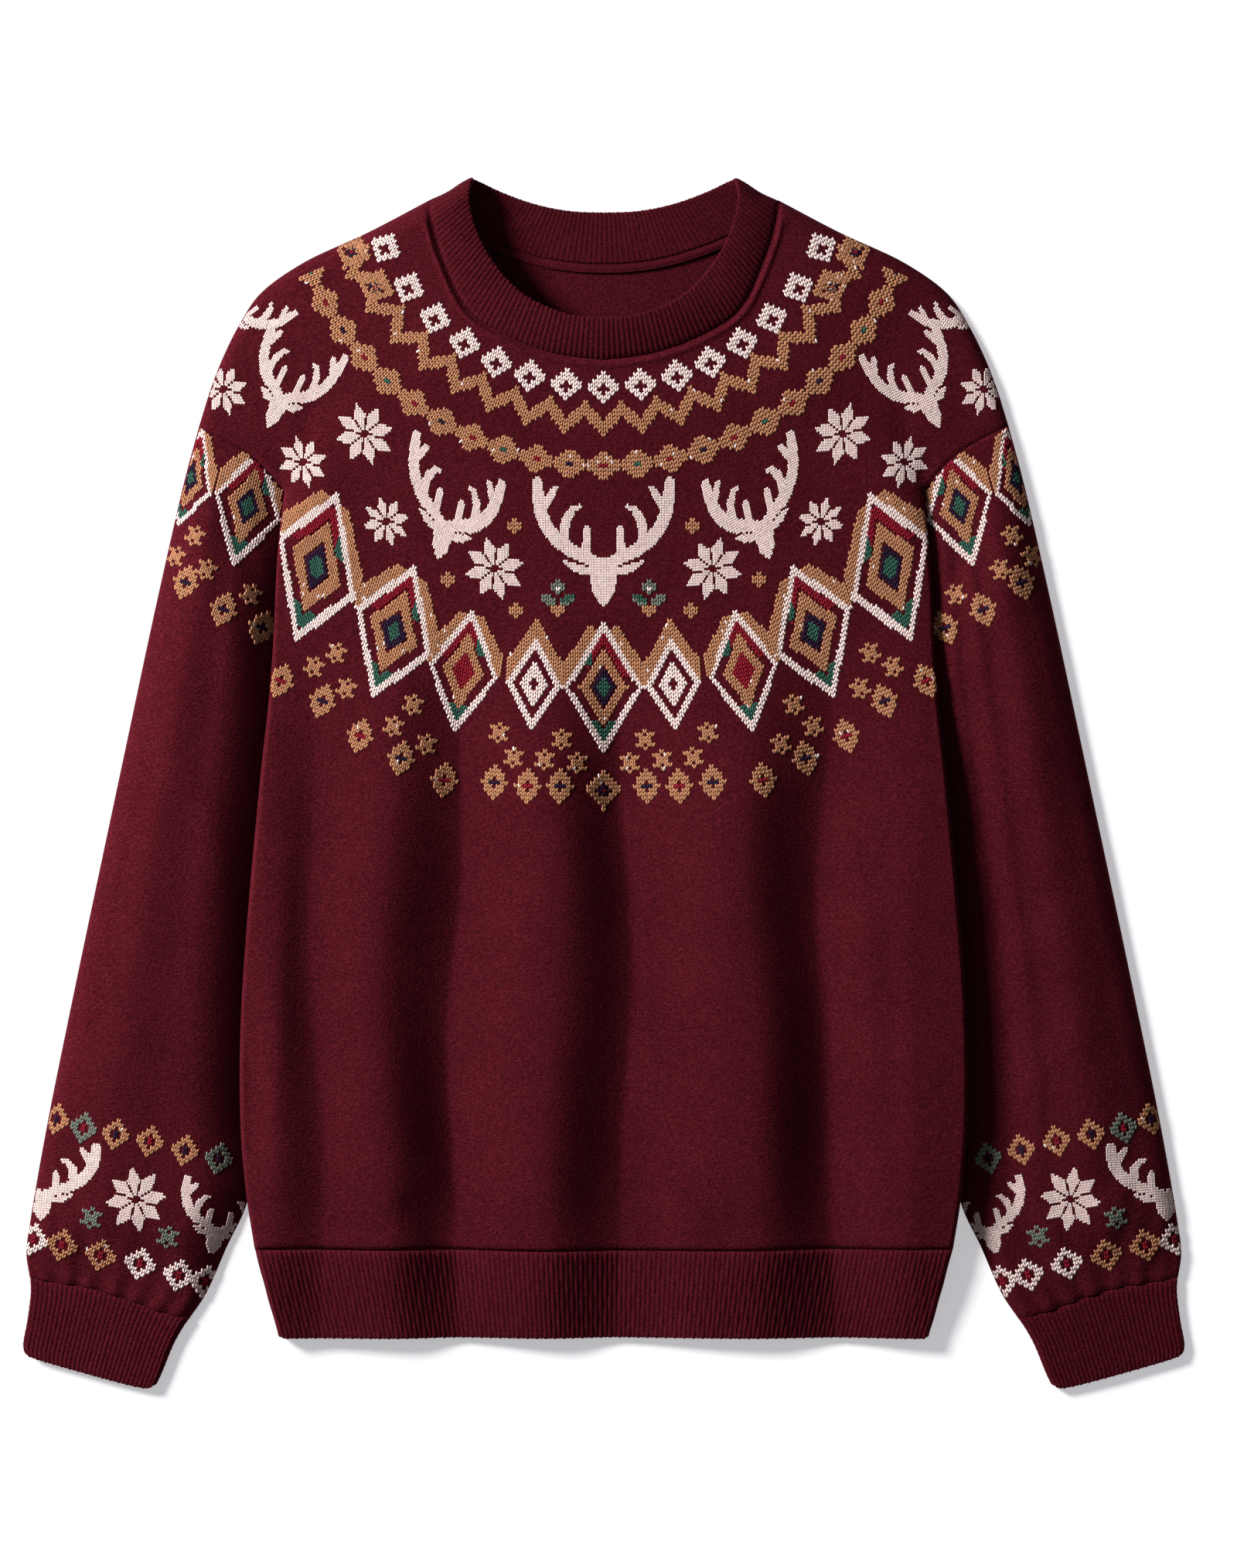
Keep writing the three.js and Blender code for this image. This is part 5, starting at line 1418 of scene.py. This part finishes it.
def yoke():
    """All legs of the yoke as rows of x, y, direction, slant side, yarn and fineness."""
    legs = []
    for x in RING_ONE_X:
        angle = math.asin(x / RING_ONE)
        turn = OPEN_TURN * math.degrees(angle)
        spot = (x, YOKE_CENTRE[1] - RING_ONE * math.cos(angle))
        motif = legs_of(chart(OPEN_DIAMOND), frame_of(*spot, turn, turn, *OPEN_SIZE))
        legs += on_both_halves(motif) if x else motif
    legs += ring_legs(RING_TWO, ZIGZAG_DEEP, ZIGZAG_REACH, zigzag)
    legs += ring_legs(RING_THREE, CHAIN_DEEP, CHAIN_REACH, chain)
    for x, y, turn, lean, wide, high in STAGS:
        bold = BOLD_LARGE if wide == 1 else BOLD_SMALL
        motif = legs_by(stag(bold), *STAG_HALF, frame_of(x, y, turn, lean, wide, high), FINE)
        legs += on_both_halves(motif) if x else motif
    for x, y, radius in STARS:
        motif = legs_by(star(radius), radius, radius, frame_of(x, y, STAR_TURN, 0, *STAR_SIZE), FINE)
        legs += on_both_halves(motif)
    for x, y in DOTS:
        legs += on_both_halves(legs_of(chart(DOT), frame_of(x, y, 0, 0, 1, 1)))
    for x, y in LEAVES:
        legs += on_both_halves(legs_of(chart(LEAF), frame_of(x, y, 0, 0, *LEAF_SIZE)))
    for x, y, wide, high, turn, lean, kind in DIAMONDS:
        core = GREEN if kind == "green" else CRIMSON
        shape = small_diamond(wide, high) if kind == "small" else big_diamond(wide, high, core)
        motif = legs_by(shape, wide, high + RIM_ROOM, frame_of(x, y, turn, lean, 1, 1))
        legs += on_both_halves(motif) if x else motif
    large = chart(LARGE_HOLED_DIAMOND)
    legs += legs_of(large, frame_of(*CENTRE_DIAMOND, 0, 0, *CENTRE_SIZE))
    for x, y in RING_TWO_DIAMONDS:
        motif = frame_of(x, y, RING_TWO_TURN, RING_TWO_TURN, *RING_TWO_SIZE)
        legs += on_both_halves(legs_of(large, motif))
    for (x, y, turn), colour in zip(HOLED, HOLE_COLOURS):
        motif = frame_of(x, y, turn, turn, *HOLED_SIZE)
        legs += on_both_halves(legs_of(chart(HOLED_DIAMOND, {"d": colour}), motif))
    for x, y in FLORETS:
        motif = frame_of(x, y, FLORET_TURN * x, FLORET_TURN * x, *FLORET_SIZE)
        legs += on_both_halves(legs_of(chart(FLORET), motif))
    return np.vstack(legs)


yoke_legs = yoke()
print("legs of the yoke", len(yoke_legs))

# %% [markdown]
# ## Sleeve pattern
# The outermost diamonds and florets of the yoke fall on the sleeves. Above each cuff runs a
# band of its own: small diamonds, then stags and a star, then small diamonds again.
# %% Sleeve pattern
SLEEVE_DIAMONDS = [(220.8, 171.7, 21.9, 39.8, 22.6, 13), (256.3, 189.5, 17, 33, 40, 15)]
SLEEVE_HOLED = [(258.7, 124.2, 18), (235.2, 107.4, 20), (212.2, 96.4, 22)]
SLEEVE_FLORETS = [(253, 153), (265.4, 140.5), (245.8, 131.9), (218.9, 117)]
SLEEVE_FLORET_TURN = 24
CUFF_UPPER = [(339.4, -208.4), (322.1, -213.7), (301.9, -217.5), (280.8, -221.9), (259.2, -227.6),
              (238.6, -232.9)]
CUFF_UPPER_SWAPS = [{"r": "d"}, {"t": "s"}, {"r": "d"}, {}, {"r": "d"}, {"t": "s", "r": "d"}]
CUFF_STAGS = [(348, -246.5, 3, 0.8, 0.62), (238.5, -270.5, 14, 0.6, 0.56)]
CUFF_STARS = [(289.4, -257.9, 19.5)]
CUFF_LEAVES = [(317.3, -269.4), (269.8, -281.4)]
CUFF_LOWER = [(354.2, -283.3), (336, -286.7), (312, -292.9), (287.5, -298.2), (263.5, -305.4),
              (247.7, -309.7)]
CUFF_LOWER_SWAPS = [{"t": "c"}, {}, {}, {"t": "c"}, {"t": "c"}, {"t": "c"}]
# Turn and lean in degrees, width and height against the plain stitch
CUFF_UPPER_FRAME, CUFF_LOWER_FRAME = (13, 13, 0.8, 1), (15, 15, 0.95, 1.05)
CUFF_STAR_FRAME, CUFF_LEAF_FRAME = (10, 8, 1, 1.05), (12, 12, 0.9, 0.95)


def sleeve_pattern():
    """The part of the yoke that falls on a sleeve, and the band above its cuff."""
    legs = []
    for x, y, wide, high, turn, lean in SLEEVE_DIAMONDS:
        motif = frame_of(x, y, turn, lean, 1, 1)
        legs += legs_by(big_diamond(wide, high, GREEN), wide, high + RIM_ROOM, motif)
    for x, y, turn in SLEEVE_HOLED:
        legs += legs_of(chart(HOLED_DIAMOND), frame_of(x, y, turn, turn, *HOLED_SIZE))
    for x, y in SLEEVE_FLORETS:
        motif = frame_of(x, y, SLEEVE_FLORET_TURN, SLEEVE_FLORET_TURN, *FLORET_SIZE)
        legs += legs_of(chart(FLORET), motif)
    for spot, swap in zip(CUFF_UPPER, CUFF_UPPER_SWAPS):
        legs += legs_of(chart(CUFF_DIAMOND, swap), frame_of(*spot, *CUFF_UPPER_FRAME))
    for x, y, turn, wide, high in CUFF_STAGS:
        motif = frame_of(x, y, turn, turn, wide, high)
        legs += legs_by(stag(BOLD_SMALL), *STAG_HALF, motif, FINE)
    for x, y, radius in CUFF_STARS:
        legs += legs_by(star(radius), radius, radius, frame_of(x, y, *CUFF_STAR_FRAME), FINE)
    for spot in CUFF_LEAVES:
        legs += legs_of(chart(FLORET, {"t": "s"}), frame_of(*spot, *CUFF_LEAF_FRAME))
    for spot, swap in zip(CUFF_LOWER, CUFF_LOWER_SWAPS):
        legs += legs_of(chart(CUFF_DIAMOND, swap), frame_of(*spot, *CUFF_LOWER_FRAME))
    return np.vstack(legs)


sleeve_legs = sleeve_pattern()
print("legs of a sleeve", len(sleeve_legs))

# %% [markdown]
# ## Knitting the legs
# Every leg is a small closed spindle: two rings of four points and two tips. It lies on
# the cloth, slants to the middle of its stitch, and sinks a little into the nap. Legs that
# fall outside the cloth or into a seam are left out. One mesh holds all legs of one yarn on
# one piece.
# %% Knitting the legs
LEG_LONG = 3.5
LEG_WIDE = 0.86
LEG_HIGH = 0.5
LEG_SLANT = math.radians(24)
LEG_LIFT = 0.06
STATIONS = [(-0.24, 0.97), (0.22, 0.92)]
SIZE_SPREAD = 0.1
TONE_MIDDLE, TONE_SPREAD = 0.5, 0.2
EDGE_CLEAR = 1.0           # legs keep this far from an edge
NECK_CLEAR, ARM_CLEAR, SLEEVE_CLEAR = 2.2, 1.6, 1.2
RIM_SPOTS = 400
LIGHT_FLECKS = 0.012


def spindle():
    """Unit spindle along its first axis: two tips and two rings of four points."""
    rings = [(s, r * c, r * h) for s, r in STATIONS for c, h in ((1, 0), (0, 1), (-1, 0), (0, -1))]
    points = np.array([(-0.5, 0, 0), *rings, (0.5, 0, 0)])
    corner = np.arange(4)
    following = (corner + 1) % 4
    quads = np.stack([1 + corner, 1 + following, 5 + following, 5 + corner], 1)
    triangles = np.concatenate([np.stack([np.zeros(4, int), 1 + following, 1 + corner], 1),
                                np.stack([5 + corner, 5 + following, np.full(4, 9)], 1)])
    p = points[quads]
    if (np.cross(p[:, 0], p[:, 1]) * p[:, 2]).sum() < 0:
        quads, triangles = quads[:, ::-1], triangles[:, ::-1]
    return points, quads, triangles


def surface_frame(height, x, y, face):
    """Point and outward normal of a height surface, from differences over one millimetre."""
    step = 0.5
    z = height(x, y)
    slope_x = (height(x + step, y) - height(x - step, y)) / (2 * step)
    slope_y = (height(x, y + step) - height(x, y - step)) / (2 * step)
    normal = unit(np.stack([-slope_x, -slope_y, np.ones(x.shape)], -1)) * face
    return np.stack([x, y, z], -1), normal


def knit(place, legs, height, face, inside):
    """Lays the legs that fall inside a piece on its surface, one mesh for each yarn."""
    legs = legs[inside(legs[:, 0], legs[:, 1])]
    spot, normal = surface_frame(height, legs[:, 0], legs[:, 1], face)
    slant = -legs[:, 4] * LEG_SLANT
    c, s = np.cos(slant), np.sin(slant)
    heading = np.stack([c * legs[:, 2] - s * legs[:, 3], s * legs[:, 2] + c * legs[:, 3], 0 * c], -1)
    along = unit(heading - (heading * normal).sum(1, keepdims=True) * normal)
    across = np.cross(normal, along)
    size = 1 + random.uniform(-SIZE_SPREAD, SIZE_SPREAD, (len(legs), 3))
    tone = np.clip(random.normal(TONE_MIDDLE, TONE_SPREAD, len(legs)), 0, 1)
    flecks = (legs[:, 5] == TAN) & (random.random(len(legs)) < LIGHT_FLECKS)
    yarn = np.where(flecks, CREAM, legs[:, 5]).astype(int)
    shape, quads, triangles = spindle()
    made = {}
    for k, name in enumerate(YARN_NAMES):
        mine = np.nonzero(yarn == k)[0]
        if len(mine) == 0:
            continue
        scale = size[mine] * (LEG_LONG, LEG_WIDE, LEG_HIGH) * legs[mine, 6:]
        part = shape[None] * scale[:, None]
        centre = spot[mine] + LEG_LIFT * normal[mine]
        points = (centre[:, None] + part[..., :1] * along[mine, None]
                  + part[..., 1:2] * across[mine, None] + part[..., 2:] * normal[mine, None])
        points[..., 2] = np.maximum(points[..., 2], 0)
        shift = len(shape) * np.arange(len(mine))[:, None, None]
        piece = fill_mesh(f"{place}_{name}_stitches", points.reshape(-1, 3),
                          (quads + shift).reshape(-1, 4), (triangles + shift).reshape(-1, 3),
                          np.repeat(tone[mine], len(shape)))
        piece.data.materials.append(yarn_materials[name])
        made[name] = piece
    print(place, "legs", len(legs), "yarns", list(made))
    return made


def on_panel(neck):
    """Whether a spot is on a body panel: below neck and shoulder, and inside the side or the
    armhole, each with a little clearance."""
    right = chained((SIDE_LINE[::-1], UNDERARM_SHARE), (ARM_LINE, ARM_SHARE), (SHOULDER_FALL[::-1], 1))
    rim = right(np.linspace(0, 1, RIM_SPOTS))
    top = np.vstack([neck, SHOULDER_TOP[1:]])

    def inside(x, y):
        right_x = np.abs(x)
        below = y < np.interp(right_x, top[:, 0], top[:, 1]) - EDGE_CLEAR
        within = right_x < np.interp(y, rim[:, 1], rim[:, 0]) - EDGE_CLEAR
        off_seams = (away(neck, right_x, y) > NECK_CLEAR) & (away(ARM_LINE, right_x, y) > ARM_CLEAR)
        return below & within & off_seams
    return inside


def on_sleeve(x, y):
    """Whether a spot is on the right sleeve: between its two folds and its two seams."""
    outer = SLEEVE_OUTER_LINE[np.argsort(SLEEVE_OUTER_LINE[:, 1])]
    inner = SLEEVE_INNER_LINE[np.argsort(SLEEVE_INNER_LINE[:, 1])]
    cuff_row = CUFF_LINE[::-1]
    within = (x < np.interp(y, outer[:, 1], outer[:, 0]) - EDGE_CLEAR)
    within &= x > np.interp(y, inner[:, 1], inner[:, 0]) + EDGE_CLEAR
    within &= y < np.interp(x, ARM_LINE[:, 0], ARM_LINE[:, 1]) - SLEEVE_CLEAR
    return within & (y > np.interp(x, cuff_row[:, 0], cuff_row[:, 1]) + SLEEVE_CLEAR)


stitches = {
    "front": knit("front", yoke_legs, front_height, 1, on_panel(NECK_LINE)),
    "back": knit("back", yoke_legs, back_height, -1, on_panel(BACK_NECK_LINE)),
}
for side, sign in (("left", -1), ("right", 1)):
    legs = sleeve_legs if sign > 0 else mirrored(sleeve_legs)
    inside = (lambda sign: lambda x, y: on_sleeve(sign * x, y))(sign)
    low_side = lambda x, y: lower(x, y, on_body=False)
    stitches[side] = knit(f"sleeve_{side}", legs, sleeve_height, 1, inside)
    stitches[f"{side}_under"] = knit(f"sleeve_{side}_under", legs, low_side, -1, inside)

# %% [markdown]
# ## What is cloth
# The cloth area of each knitted piece is printed: half the surface of its closed shell, so a tube counts
# all round.
# %% Sheets
def cloth_area(piece):
    """Half of a closed shell's surface in square metres: the sum of its faces' areas over two."""
    areas = np.empty(len(piece.data.polygons))
    piece.data.polygons.foreach_get("area", areas)
    return areas.sum() / 2


for piece in (front_cloth, back_cloth, *sleeves.values(), *cuffs.values(), hem_rib, collar_rib, tape):
    print(piece.name, "cloth", round(cloth_area(piece), 5), "square metres")
